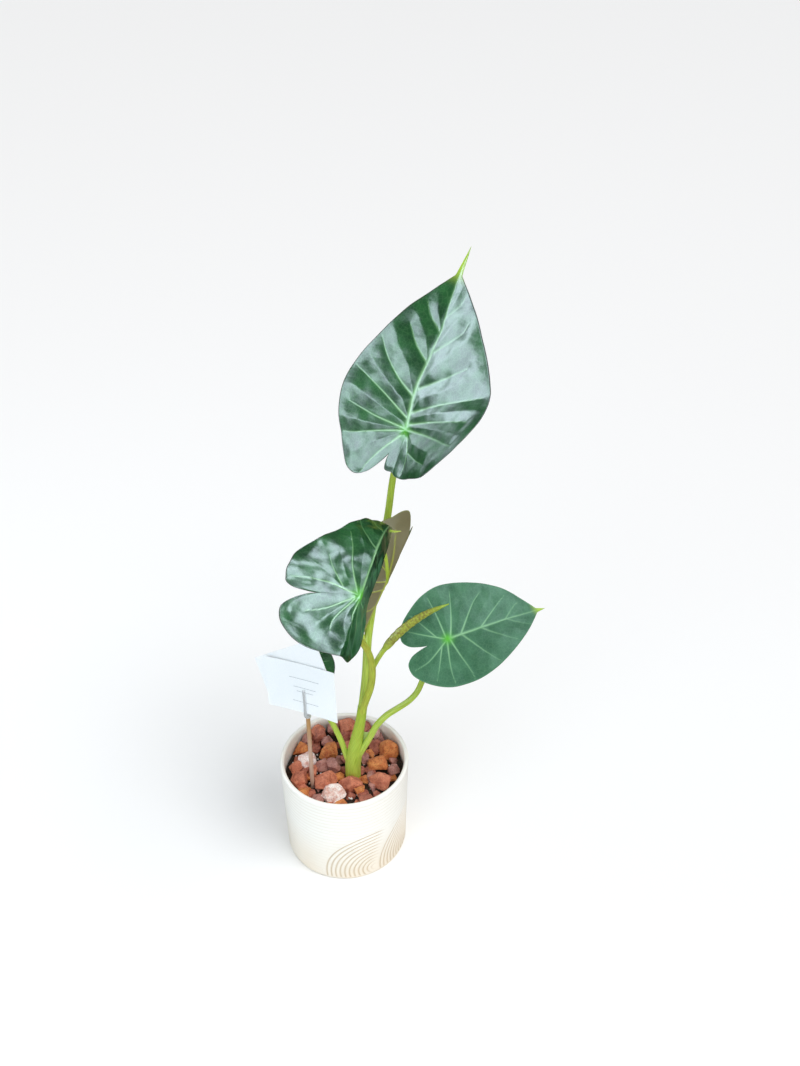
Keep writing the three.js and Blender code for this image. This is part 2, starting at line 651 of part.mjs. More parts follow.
const rolled = stem(ROLLED, 20, STEM_SIDES);
const cutFrom = {
  leaf_1: [crownSwollen],
  leaf_2: [crownSwollen, stalk('leaf_1', GAP)],
  leaf_3: [crownSwollen],
  leaf_4: [crownSwollen],
  leaf_5: [stalk('leaf_2', GAP)],
};
for (const [name, leaf] of Object.entries(LEAVES)) {
  const cutters = [...cutFrom[name], bladeCutter(leaf)];
  add(`${name}_stalk`, cut(stalk(name), ...cutters), name === 'leaf_2' ? stemOlive : stemGreen);
  add(`${name}_blade`, bladeGeometry(leaf), leaf.material);
}
add('rolled_leaf', cut(rolled, stalk('leaf_2', GAP), stalk('leaf_1', GAP)), stemOlive);

const stakeFoot = SOIL_TOP - STAKE_HOLE_DEPTH + GAP;
add('stake', upright(STAKE_RADIUS, stakeFoot, STAKE_TOP, 10, STAKE_X, STAKE_Y), bamboo);
add('card_front', cardGeometry(-3, 12.3, 0, 0, 2.2), paper);
add('card_back', cardGeometry(-14, 26.5, -1.4, 23, 1), paper);
add('clip', clipGeometry(), clearClip);

export default whole;
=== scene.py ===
# A potted alocasia in a combed stoneware pot, dressed over its construction model.
import math

import bpy
import numpy as np
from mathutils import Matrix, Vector


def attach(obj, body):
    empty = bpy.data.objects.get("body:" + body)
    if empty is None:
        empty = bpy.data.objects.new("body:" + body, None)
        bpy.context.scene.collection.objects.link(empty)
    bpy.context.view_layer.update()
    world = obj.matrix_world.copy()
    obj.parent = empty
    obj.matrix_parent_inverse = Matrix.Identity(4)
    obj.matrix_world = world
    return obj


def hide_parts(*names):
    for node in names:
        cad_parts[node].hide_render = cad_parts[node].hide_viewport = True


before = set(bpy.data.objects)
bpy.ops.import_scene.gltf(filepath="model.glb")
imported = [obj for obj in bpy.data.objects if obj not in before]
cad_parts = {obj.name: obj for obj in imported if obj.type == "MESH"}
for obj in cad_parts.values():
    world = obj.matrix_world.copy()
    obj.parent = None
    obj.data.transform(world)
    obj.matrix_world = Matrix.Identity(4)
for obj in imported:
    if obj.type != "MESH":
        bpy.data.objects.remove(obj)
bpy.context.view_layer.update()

# ------------------------------------------------------------------ studio
# A pale matt floor under soft window-like lights, seen from a little above, as a person standing
# at a table sees the plant. Nothing here belongs to the plant.


def linear(code):
    """An sRGB hex colour as linear red, green, blue and alpha."""
    parts = [int(code[i:i + 2], 16) / 255 for i in (1, 3, 5)]
    return [c / 12.92 if c <= 0.04045 else ((c + 0.055) / 1.055) ** 2.4 for c in parts] + [1.0]


def new_surface(name, roughness, ior=1.5, **sockets):
    """A material with its shader, whose plain values are set on the shader's own sockets."""
    material = bpy.data.materials.new(name)
    material.use_nodes = True
    shader = material.node_tree.nodes["Principled BSDF"]
    shader.inputs["Roughness"].default_value = roughness
    shader.inputs["IOR"].default_value = ior
    for socket, value in sockets.items():
        shader.inputs[socket.replace("_", " ")].default_value = value
    return material, material.node_tree, shader


FOCAL_LENGTH = 33.77  # mm on a 36 mm sensor, worked out from the pot's rim and foot
EYE = (0.0607, -0.7788, 0.9195)
LOOKING_DOWN = 33.15  # degrees
FLOOR_HALF = 20.0  # m

camera = bpy.data.objects.new("camera", bpy.data.cameras.new("camera"))
bpy.context.collection.objects.link(camera)
camera.data.sensor_fit = "AUTO"
camera.data.sensor_width = 36
camera.data.lens = FOCAL_LENGTH
camera.data.clip_end = 60
camera.location = EYE
camera.rotation_euler = (math.radians(90 - LOOKING_DOWN), 0, 0)
bpy.context.scene.camera = camera
bpy.context.scene.view_settings.view_transform = "Standard"


def aimed(name, data, place, aim):
    """A lamp that stands at a place in metres and faces another."""
    lamp = bpy.data.objects.new(name, data)
    bpy.context.collection.objects.link(lamp)
    lamp.location = place
    lamp.rotation_euler = (Vector(place) - Vector(aim)).to_track_quat("Z", "Y").to_euler()
    return lamp


def soft_lamp(name, place, aim, size, radiance, spread=180):
    """A rectangular lamp. Its spread is how far aside it still shines, in degrees."""
    data = bpy.data.lights.new(name, "AREA")
    data.shape = "RECTANGLE"
    data.size, data.size_y = size
    data.energy = radiance * math.pi * size[0] * size[1]
    data.spread = math.radians(spread)
    data.color = linear("#dff3ff")[:3]
    return aimed(name, data, place, aim)


PANE_DISTANCE = 1.5  # m
PANE_SPREAD = 140


def window_panes(name, aim, turns, rise, size, radiance):
    """Panes that only show as reflections: the soft pale sheen on the waxy leaves. They stand
    at turns in degrees from +X, at a rise above the level of what they face."""
    level = PANE_DISTANCE * math.cos(math.radians(rise))
    for i, turn in enumerate(turns):
        place = (aim[0] + level * math.cos(math.radians(turn)),
                 aim[1] + level * math.sin(math.radians(turn)),
                 aim[2] + PANE_DISTANCE * math.sin(math.radians(rise)))
        pane = soft_lamp(f"{name}_{i}", place, aim, size, radiance, PANE_SPREAD)
        pane.visible_diffuse = False


window_panes("window_left", aim=(0.05, 0.02, 0.52), turns=(146, 168, 191, 215), rise=22,
             size=(0.52, 0.62), radiance=3.7)
window_panes("window_right", aim=(0.03, -0.08, 0.38), turns=(-24, -2, 45), rise=46,
             size=(0.45, 0.7), radiance=4.6)
soft_lamp("room_fill", place=(-1.25, -1.65, 0.75), aim=(0, 0, 0.25), size=(1.2, 1.2), radiance=3.1)

SKY_PLACE = (0.75, -0.5, 1.25)
sky = bpy.data.lights.new("sky_light", "SUN")
sky.energy = 1.7
sky.angle = math.radians(42)
sky_lamp = aimed("sky_light", sky, SKY_PLACE, (0, 0, 0))
sky_lamp.visible_glossy = False

world = bpy.data.worlds.new("room")
world.use_nodes = True
background = world.node_tree.nodes["Background"]
background.inputs["Color"].default_value = linear("#f6f7f8")
background.inputs["Strength"].default_value = 0.64
bpy.context.scene.world = world
world.cycles_visibility.glossy = False

floor_mesh = bpy.data.meshes.new("floor")
floor_mesh.from_pydata(
    [(-FLOOR_HALF, -FLOOR_HALF, 0), (FLOOR_HALF, -FLOOR_HALF, 0),
     (FLOOR_HALF, FLOOR_HALF, 0), (-FLOOR_HALF, FLOOR_HALF, 0)], [], [(0, 1, 2, 3)])
floor = bpy.data.objects.new("floor", floor_mesh)
bpy.context.collection.objects.link(floor)
matt_white, _, shader = new_surface("matt_white_table", 0.75)
shader.inputs["Base Color"].default_value = linear("#f8f8f8")
floor_mesh.materials.append(matt_white)
floor.visible_glossy = False

# ------------------------------------------------------------------ pot
# A cover pot thrown in pale stoneware under a matt cream glaze. Before firing, a comb drew fine
# rings round the wall and fans of nested arcs along the foot.

# Sizes are in millimetres.
MM = 0.001
POT_RADIUS = 70.0
POT_FOOT_RADIUS = 67.0
POT_HEIGHT = 120.0
POT_WALL = 4.8
POT_FLOOR = 7.0
POT_SIDES = 440
WALL_STEP = 0.38  # between two points of the wall's section
RIM_POINTS, INSIDE_POINTS, FLOOR_POINTS = 15, 10, 2  # in the pot's section
TOP_RING = 114.0  # height of the highest ring
COMB_SPACING = 5.0  # between the comb's grooves
RING_DEPTH = 0.22
RING_HEIGHTS = (20, 100)  # between which the rings deepen
ARC_DEPTH = 0.6
FAN_REACH = 54.0  # from a fan's middle to its outermost arc
FAN_HEIGHT = 12.0  # of a fan's middle above the foot
FAN_FADE = (-14, 2)  # across a fan, from its full depth to the plain wall
FAN_TURNS = (29.5, 81.5, 133.5, 185.5)  # degrees from the front to the right
WARM_HEIGHT = 70.0  # up the wall to where the warmer, darker tint toward the foot ends


def smoothstep(low, high, x):
    t = np.clip((x - low) / (high - low), 0, 1)
    return t * t * (3 - 2 * t)


def new_piece(name, points, faces, material, slot, nodes=(), smooth=True):
    """A mesh piece, from points in millimetres, that stands for the named nodes."""
    mesh = bpy.data.meshes.new(name)
    mesh.from_pydata((np.asarray(points) * MM).tolist(), [], faces)
    mesh.materials.append(material)
    mesh.update()
    if smooth:
        mesh.shade_smooth()
    piece = bpy.data.objects.new(name, mesh)
    bpy.context.collection.objects.link(piece)
    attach(piece, "root")
    if nodes:
        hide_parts(*nodes)
    return piece


def wrapped_grid(rows, columns, start=0):
    """Quads over a grid that closes on itself across its columns."""
    return [
        (start + i * columns + j, start + i * columns + (j + 1) % columns,
         start + (i + 1) * columns + (j + 1) % columns, start + (i + 1) * columns + j)
        for i in range(rows - 1) for j in range(columns)
    ]


def groove_shape(place):
    """A narrow groove at each whole number, with broad smooth land between."""
    return (0.5 + 0.5 * np.cos(2 * np.pi * place)) ** 3


def combing(angle, height):
    """How deep the comb cut into the wall, in mm, at an angle from the front and a height. The
    rings grow fainter toward the foot. A fan is cut over them, and fades out to its right."""
    depth = RING_DEPTH * groove_shape((TOP_RING - height) / COMB_SPACING)
    depth = depth * (0.4 + 0.6 * smoothstep(*RING_HEIGHTS, height))
    depth = depth * (1 - smoothstep(TOP_RING + 1, TOP_RING + 3, height))
    for turn in FAN_TURNS:
        across = ((angle - math.radians(turn) + np.pi) % (2 * np.pi) - np.pi) * POT_FOOT_RADIUS
        reach = np.hypot(across, height - FAN_HEIGHT)
        inside = 1 - smoothstep(FAN_REACH + 1.6, FAN_REACH + 2.6, reach)
        faded = 1 - smoothstep(*FAN_FADE, across - 0.25 * height)
        arcs = ARC_DEPTH * groove_shape((reach - FAN_REACH) / COMB_SPACING) * smoothstep(2, 4, reach)
        depth = depth * (1 - inside) + arcs * faded * inside * smoothstep(2.4, 4.5, height)
    return depth


def pot_profile():
    """Radius and height round the pot's section, from the middle of its foot to its floor."""
    foot = [(0.01, 0), (30, 0), (POT_FOOT_RADIUS - 3, 0), (POT_FOOT_RADIUS - 1.6, 0.3),
            (POT_FOOT_RADIUS - 0.6, 1.2), (POT_FOOT_RADIUS, 2.8)]
    top = POT_HEIGHT - 3.0
    wall = [(POT_FOOT_RADIUS + (POT_RADIUS - POT_FOOT_RADIUS) * z / POT_HEIGHT, z)
            for z in np.arange(3.3, top, WALL_STEP)]
    middle = POT_RADIUS - POT_WALL / 2
    rim = [(middle + POT_WALL / 2 * math.cos(a), top + 2.9 * math.sin(a))
           for a in np.linspace(0, math.pi, RIM_POINTS)]
    inside = [(POT_RADIUS - POT_WALL, z) for z in np.linspace(top - 2, 90, INSIDE_POINTS)]
    floor_edge = POT_FOOT_RADIUS - POT_WALL
    return foot + wall + rim + inside + [(floor_edge, POT_FLOOR), (0.01, POT_FLOOR)]


def add_node(tree, kind, values=None, links=None, **settings):
    """Adds one node with its settings, its sockets' values and its incoming links."""
    made = tree.nodes.new(kind)
    for name, value in settings.items():
        setattr(made, name, value)
    for name, value in (values or {}).items():
        made.inputs[name].default_value = value
    for name, socket in (links or {}).items():
        tree.links.new(socket, made.inputs[name])
    return made


def scale_for(size):
    """The scale of a pattern whose features are this many millimetres across."""
    return 1 / (size * MM)


def glazed_stoneware():
    """Matt cream glaze on stoneware: pale and milky, warmer and darker in patches toward the foot,
    with painted shade darkening the comb's grooves, and faint iron specks drawn larger than life."""
    material, tree, shader = new_surface("cream_glazed_stoneware", 0.42, 1.5)
    place = add_node(tree, "ShaderNodeTexCoord")
    height = add_node(tree, "ShaderNodeSeparateXYZ", links={0: place.outputs["Object"]})
    cloud = add_node(tree, "ShaderNodeTexNoise", {"Scale": scale_for(71.4), "Detail": 4.0},
                     {"Vector": place.outputs["Object"]})
    # Warmer and darker in patches toward the foot, fading out up the wall.
    warm = add_node(tree, "ShaderNodeMapRange",
                    {"From Min": 0.0, "From Max": WARM_HEIGHT * MM, "To Min": 1.0, "To Max": 0.0},
                    {"Value": height.outputs["Z"]})
    spread = add_node(tree, "ShaderNodeMath", {1: 0.8}, {0: warm.outputs[0]}, operation="MULTIPLY")
    patchy = add_node(tree, "ShaderNodeMath", links={0: spread.outputs[0], 1: cloud.outputs["Fac"]},
                      operation="MULTIPLY")
    body = add_node(tree, "ShaderNodeMix",
                    {6: linear("#fbf9f2"), 7: linear("#edd0a4")}, {0: patchy.outputs[0]},
                    data_type="RGBA")
    # Painted shade: the comb's grooves are tinted darker and warmer by how deep they are cut.
    groove = add_node(tree, "ShaderNodeAttribute", attribute_name="groove")
    groove_shaded = add_node(tree, "ShaderNodeMix", {7: linear("#c3a982")},
                     {0: groove.outputs["Fac"], 6: body.outputs[2]}, data_type="RGBA")
    speck = add_node(tree, "ShaderNodeTexVoronoi", {"Scale": scale_for(6.25)},
                     {"Vector": place.outputs["Object"]})
    spot = add_node(tree, "ShaderNodeMapRange",
                    {"From Min": 0.05, "From Max": 0.11, "To Min": 0.22, "To Max": 0.0},
                    {"Value": speck.outputs["Distance"]})
    specked = add_node(tree, "ShaderNodeMix", {7: linear("#b9a17c")},
                       {0: spot.outputs[0], 6: groove_shaded.outputs[2]}, data_type="RGBA")
    tree.links.new(specked.outputs[2], shader.inputs["Base Color"])
    grain = add_node(tree, "ShaderNodeTexNoise", {"Scale": scale_for(1.11), "Detail": 3.0},
                     {"Vector": place.outputs["Object"]})
    bump = add_node(tree, "ShaderNodeBump", {"Strength": 0.12, "Distance": 0.0003},
                    {"Height": grain.outputs["Fac"]})
    tree.links.new(bump.outputs[0], shader.inputs["Normal"])
    return material


def tint(piece, name, values):
    """Keeps a value from 0 to 1 at each point, which the piece's material reads."""
    layer = piece.data.attributes.new(name, "FLOAT", "POINT")
    layer.data.foreach_set("value", np.asarray(values, dtype=np.float32))


profile = np.array(pot_profile())
outer_count = len(profile) - RIM_POINTS - INSIDE_POINTS - FLOOR_POINTS
turns = np.linspace(0, 2 * np.pi, POT_SIDES, endpoint=False)
radius, angle = np.meshgrid(profile[:, 0], turns, indexing="ij")
height = np.repeat(profile[:, 1][:, None], POT_SIDES, 1)
on_wall = (np.arange(len(profile)) < outer_count)[:, None] & (height > 2.5)
cut = np.where(on_wall, combing(angle, height), 0)
points = np.stack([(radius - cut) * np.sin(angle), -(radius - cut) * np.cos(angle), height], -1)
pot = new_piece("pot_body", points.reshape(-1, 3), wrapped_grid(len(profile), POT_SIDES),
                glazed_stoneware(), "glazed_stoneware", ["pot"])
# The groove value is painted shade, strongest where the comb cut deepest.
tint(pot, "groove", np.clip(cut / ARC_DEPTH, 0, 1).ravel() ** 1.5 * 0.85)

# ------------------------------------------------------------------ soil
# Dark potting mix fills the pot to a few millimetres under the chips, with white grains of
# perlite that show in the gaps between them.

SOIL_TOP = 97.0
SOIL_RADIUS = 64.0
GROUND_RINGS, GROUND_SPOKES = 60, 180
GROUND_LIFT = 1.6  # of the loose crumbs above the firm soil
NOISE_WAVES, NOISE_HEIGHT = 14, 4.2  # waves in a noise, and how high they add up as a rule
PERLITE_COUNT = 90
PERLITE_SIZES = (0.6, 1.5)
PERLITE_LIFT = 2.8


def rounded_noise(points, size, seed):
    """Smooth noise from -1 to 1 with bumps of the given size, at points in millimetres."""
    total = np.zeros(len(points))
    draw = np.random.default_rng(seed)
    for _ in range(NOISE_WAVES):
        direction = draw.normal(size=3)
        direction *= 2 * np.pi / (size * np.linalg.norm(direction) * draw.uniform(0.75, 1.35))
        total += np.sin(points @ direction + draw.uniform(0, 6.28))
    return total / NOISE_HEIGHT


def potting_mix():
    """Moist peat and bark crumbs: nearly black, rough and matt."""
    material, tree, shader = new_surface("moist_potting_mix", 0.95, 1.4)
    place = add_node(tree, "ShaderNodeTexCoord")
    crumbs = add_node(tree, "ShaderNodeTexNoise", {"Scale": scale_for(3.125), "Detail": 6.0},
                      {"Vector": place.outputs["Object"]})
    tone = add_node(tree, "ShaderNodeMix", {6: linear("#17110d"), 7: linear("#4a3a2c")},
                    {0: crumbs.outputs["Fac"]}, data_type="RGBA")
    tree.links.new(tone.outputs[2], shader.inputs["Base Color"])
    bump = add_node(tree, "ShaderNodeBump", {"Strength": 0.9, "Distance": 0.0015},
                    {"Height": crumbs.outputs["Fac"]})
    tree.links.new(bump.outputs[0], shader.inputs["Normal"])
    return material


soil_finish = potting_mix()
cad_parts["soil"].material_slots[0].material = soil_finish

reach, angle = np.meshgrid(np.linspace(0.2, SOIL_RADIUS, GROUND_RINGS),
                           np.linspace(0, 2 * np.pi, GROUND_SPOKES, endpoint=False), indexing="ij")
ground = np.stack([reach * np.sin(angle), -reach * np.cos(angle), 0 * reach], -1).reshape(-1, 3)
crumbs = 1.1 * rounded_noise(ground, 6, 3) + 0.8 * rounded_noise(ground, 2.4, 4)
ground[:, 2] = SOIL_TOP + GROUND_LIFT + crumbs
new_piece("soil_surface", ground, wrapped_grid(GROUND_RINGS, GROUND_SPOKES), soil_finish,
          "potting_soil")


def expanded_perlite():
    """Expanded volcanic glass: chalk white and crumbly."""
    material, tree, shader = new_surface("expanded_perlite", 0.9, 1.5)
    place = add_node(tree, "ShaderNodeTexCoord")
    pits = add_node(tree, "ShaderNodeTexNoise", {"Scale": scale_for(0.667)},
                    {"Vector": place.outputs["Object"]})
    tone = add_node(tree, "ShaderNodeMix", {6: linear("#cfcac0"), 7: linear("#ffffff")},
                    {0: pits.outputs["Fac"]}, data_type="RGBA")
    tree.links.new(tone.outputs[2], shader.inputs["Base Color"])
    return material


ICOSAHEDRON_REACH = (1 + 5 ** 0.5) / 2
ICOSAHEDRON_POINTS = np.array(
    [(-1, ICOSAHEDRON_REACH, 0), (1, ICOSAHEDRON_REACH, 0), (-1, -ICOSAHEDRON_REACH, 0),
     (1, -ICOSAHEDRON_REACH, 0), (0, -1, ICOSAHEDRON_REACH), (0, 1, ICOSAHEDRON_REACH),
     (0, -1, -ICOSAHEDRON_REACH), (0, 1, -ICOSAHEDRON_REACH), (ICOSAHEDRON_REACH, 0, -1),
     (ICOSAHEDRON_REACH, 0, 1), (-ICOSAHEDRON_REACH, 0, -1), (-ICOSAHEDRON_REACH, 0, 1)])
ICOSAHEDRON_POINTS = ICOSAHEDRON_POINTS / np.linalg.norm(ICOSAHEDRON_POINTS[0])
ICOSAHEDRON_FACES = [
    (0, 11, 5), (0, 5, 1), (0, 1, 7), (0, 7, 10), (0, 10, 11), (1, 5, 9), (5, 11, 4),
    (11, 10, 2), (10, 7, 6), (7, 1, 8), (3, 9, 4), (3, 4, 2), (3, 2, 6), (3, 6, 8), (3, 8, 9),
    (4, 9, 5), (2, 4, 11), (6, 2, 10), (8, 6, 7), (9, 8, 1)]


def joined(parts):
    """Several meshes, each of points and faces, as one."""
    points, faces, start = [], [], 0
    for part_points, part_faces in parts:
        points.append(part_points)
        faces += [tuple(start + i for i in face) for face in part_faces]
        start += len(part_points)
    return np.concatenate(points), faces


draw = np.random.default_rng(21)
grains = []
for _ in range(PERLITE_COUNT):
    spot_angle = draw.uniform(0, 6.28)
    spot_reach = SOIL_RADIUS * 0.97 * draw.uniform() ** 0.5
    centre = [spot_reach * math.sin(spot_angle), -spot_reach * math.cos(spot_angle),
              SOIL_TOP + PERLITE_LIFT]
    size = draw.uniform(*PERLITE_SIZES)
    grain = ICOSAHEDRON_POINTS * size * draw.uniform(0.7, 1.2, (12, 1)) + centre
    grains.append((grain, ICOSAHEDRON_FACES))
new_piece("perlite_grains", *joined(grains), expanded_perlite(), "potting_soil")

# ------------------------------------------------------------------ lava chips
# Broken lava rock, dry and sharp-edged, strewn two deep over the soil. The chips are red-brown,
# orange, mauve and a few pale pink, and are full of small gas pores.

# The chips that show, as [x, y, size, thickness, colour] in millimetres. A sixth value lifts a
# chip of the second layer, which heaps the mulch up against the back of the rim.
CHIPS = [
    (-30, 45, 17, 19, "rust"), (-20, 38, 12, 14, "mauve"), (-2, 50, 16, 15, "rust"),
    (-51, 26, 15, 15, "orange"), (-33, 30, 15, 10, "rust"), (-18, 21, 25, 14, "orange"),
    (-40, 9, 22, 14, "pale"), (-53, 0, 16, 15, "brick"), (-25, 2, 14, 17, "mauve"),
    (-12, 0, 15, 18, "mauve"), (-49, -17, 19, 15, "brick"), (-35, -8, 12, 14, "brick"),
    (-41, -36, 14, 12, "orange"), (-18, -20, 22, 16, "brick"), (-27, -44, 16, 9, "mauve"),
    (-10, -40, 22, 17, "pale"), (7, -25, 22, 18, "brick"), (18, -33, 12, 12, "orange"),
    (26, -46, 20, 11, "rust"), (28, -13, 13, 10, "mauve"), (42, -21, 22, 17, "brick"),
    (53, -5, 15, 14, "mauve"), (37, 5, 22, 16, "orange"), (49, 23, 22, 18, "orange"),
    (32, 31, 15, 16, "rust"), (38, 43, 17, 12, "mauve"), (-44, 36, 13, 12, "rust"),
    (18, 50, 16, 13, "orange"), (4, 32, 15, 12, "brick"), (18, 18, 14, 11, "mauve"),
    (2, 14, 13, 11, "rust"), (-14, 56, 15, 18, "mauve"), (9, 57, 15, 18, "brick"),
    (-41, 45, 14, 16, "brick"), (31, 51, 16, 17, "pink"), (50, 35, 14, 15, "brick"),
    (-30, 48, 18, 15, "brick", 7), (-14, 54, 15, 13, "mauve", 8), (0, 55, 18, 15, "brick", 8),
    (21, 56, 14, 13, "rust", 7), (-43, 38, 14, 12, "mauve", 5), (10, 46, 13, 12, "brick", 6),
]
FILLER_SPACING = 14.5
FILLER_ROOM = 8.0  # from a small chip's middle to the wall
FILLER_SIZE, FILLER_THICKNESS = 12.8, 7.0
FILLER_COLOURS = ["rust", "brick", "mauve", "rust", "orange", "brick"]
CHIP_SINK = 0.42  # a chip's middle stands this share of its height above the soil
CHIP_SEED = 11
CHIP_SPLITS = 3  # times that each face is split in four
BROKEN_FACES = 9
BREAK_REACH = (0.52, 0.78)  # of a broken face, as a share of the stone's reach
BREAK_SWELL = 1.2  # makes up for what the breaks take off
LAVA_TINTS = {
    "rust": ("#965242", "#c27a64"), "brick": ("#b0634b", "#da8a6b"),
    "orange": ("#bc6639", "#e39759"), "mauve": ("#9d665b", "#c49085"),
    "pink": ("#c9938a", "#e9c6bd"), "pale": ("#dba596", "#fff8f4"),
}


def seeded_random(seed):
    state = seed
    while True:
        state = state * 48271 % 2147483647
        yield state / 2147483647


def porous_lava(name, dark, light):
    """Dry lava rock, broken: matt, in two close tones with pale dust, pitted by open gas pores,
    which hold painted shade. The pores are drawn a little larger than life."""
    material, tree, shader = new_surface(f"porous_lava_{name}", 0.93, 1.45)
    place = add_node(tree, "ShaderNodeTexCoord")
    cloud = add_node(tree, "ShaderNodeTexNoise",
                     {"Scale": scale_for(5.88), "Detail": 6.0, "Roughness": 0.65},
                     {"Vector": place.outputs["Object"]})
    contrast = add_node(tree, "ShaderNodeMapRange", {"From Min": 0.36, "From Max": 0.64},
                        {"Value": cloud.outputs["Fac"]})
    body = add_node(tree, "ShaderNodeMix", {6: linear(dark), 7: linear(light)},
                    {0: contrast.outputs[0]}, data_type="RGBA")
    pores = add_node(tree, "ShaderNodeTexVoronoi", {"Scale": scale_for(1.613)},
                     {"Vector": place.outputs["Object"]})
    pit = add_node(tree, "ShaderNodeMapRange",
                   {"From Min": 0.1, "From Max": 0.34, "To Min": 0.62, "To Max": 0.0},
                   {"Value": pores.outputs["Distance"]})
    # Painted shade: each pore is darkened toward its middle.
    pore_shaded = add_node(tree, "ShaderNodeMix", {7: linear("#3a201a")},
                      {0: pit.outputs[0], 6: body.outputs[2]}, data_type="RGBA")
    tree.links.new(pore_shaded.outputs[2], shader.inputs["Base Color"])
    rough = add_node(tree, "ShaderNodeMath", links={0: cloud.outputs["Fac"], 1: pit.outputs[0]},
                     operation="SUBTRACT")
    bump = add_node(tree, "ShaderNodeBump", {"Strength": 0.6, "Distance": 0.0007},
                    {"Height": rough.outputs[0]})
    tree.links.new(bump.outputs[0], shader.inputs["Normal"])
    return material


def turned(points, axis, angle):
    """Points turned about one of the axes 0, 1 and 2."""
    a, b = [(1, 2), (2, 0), (0, 1)][axis]
    result = points.copy()
    result[:, a] = points[:, a] * math.cos(angle) - points[:, b] * math.sin(angle)
    result[:, b] = points[:, a] * math.sin(angle) + points[:, b] * math.cos(angle)
    return result


def split_faces(points, faces):
    """Every triangle as four, with new points at the middles of its edges."""
    points = list(points)
    middles = {}

    def middle(a, b):
        key = (min(a, b), max(a, b))
        if key not in middles:
            middles[key] = len(points)
            points.append((points[a] + points[b]) / 2)
        return middles[key]

    made = []
    for a, b, c in faces:
        ab, bc, ca = middle(a, b), middle(b, c), middle(c, a)
        made += [(a, ab, ca), (ab, b, bc), (ca, bc, c), (ab, bc, ca)]
    return np.array(points), made


def broken_flat(points, seed):
    """Points cut back to a few random planes, as a blow breaks a stone into flat faces."""
    draw = np.random.default_rng(seed)
    middle = points.mean(0)
    away = points - middle
    for _ in range(BROKEN_FACES):
        direction = draw.normal(size=3)
        direction /= np.linalg.norm(direction)
        along = away @ direction
        over = np.maximum(along - along.max() * draw.uniform(*BREAK_REACH), 0)
        away = away - over[:, None] * direction
    return middle + away * BREAK_SWELL


def chip_rock(x, y, size, thickness, lift, random):
    """One broken chip: a tumbled block with flat broken faces, sharp edges and small lumps."""
    spin = next(random) * math.pi
    stretch = 1 + 0.12 * next(random)
    tumble = [next(random) * math.pi for _ in range(3)]
    corners = ICOSAHEDRON_POINTS
    for axis in (2, 1, 0):
        corners = turned(corners, axis, tumble[axis])
    corners = corners * np.array([0.94 + 0.3 * next(random) for _ in range(12)])[:, None]
    corners = corners * [size * 0.54 * stretch, size * 0.5, thickness * 0.55]
    corners = turned(corners, 2, spin)
    points, faces = corners, ICOSAHEDRON_FACES
    for _ in range(CHIP_SPLITS):
        points, faces = split_faces(points, faces)
    seed = int(abs(x) * 7 + abs(y) * 13 + 5)
    points = broken_flat(points, seed)
    middle = points.mean(0)
    lumps = 0.02 * rounded_noise(points, 4.5, seed) + 0.014 * rounded_noise(points, 1.7, seed + 1)
    points = middle + (points - middle) * (1 + lumps[:, None])
    points = points + [x, y, SOIL_TOP + lift + thickness * CHIP_SINK]
    flat = np.hypot(points[:, 0], points[:, 1])
    limit = SOIL_RADIUS - 0.5
    pull = np.where(flat > limit, limit / flat, 1)
    points[:, :2] *= pull[:, None]
    return points, faces


def chip_places():
    """The chips that show, then small ones in a jittered triangular layout between them."""
    random = seeded_random(CHIP_SEED)
    for x, y, size, thickness, colour, *lift in CHIPS:
        yield colour, chip_rock(x, y, size, thickness, sum(lift), random)
    reach = SOIL_RADIUS - FILLER_ROOM
    row_step = FILLER_SPACING * math.sqrt(0.75)
    rows = math.ceil(reach / row_step)
    for row in range(-rows, rows + 1):
        shift = 0 if row % 2 == 0 else FILLER_SPACING / 2
        for column in range(-rows, rows + 1):
            x = column * FILLER_SPACING + shift + 2 * (next(random) - 0.5)
            y = row * row_step + 2 * (next(random) - 0.5)
            covered = any(math.hypot(x - c[0], y - c[1]) < 0.4 * c[2] for c in CHIPS)
            if math.hypot(x, y) < reach and not covered:
                colour = FILLER_COLOURS[(row * 5 + column * 3) % len(FILLER_COLOURS)]
                yield colour, chip_rock(x, y, FILLER_SIZE, FILLER_THICKNESS, 0, random)


heaps = {colour: [] for colour in LAVA_TINTS}
for colour, chip in chip_places():
    heaps[colour].append(chip)
for colour, chips in heaps.items():
    new_piece(f"lava_chips_{colour}", *joined(chips), porous_lava(colour, *LAVA_TINTS[colour]),
              "lava_chips", ["lava_gravel"], smooth=False)

# ------------------------------------------------------------------ stem base and stalks
# The thick green stem base grows out of the soil and divides into stalks, each wrapped at its foot
# by the sheath of the one before. The tissue is smooth, juicy and finely ribbed lengthwise.

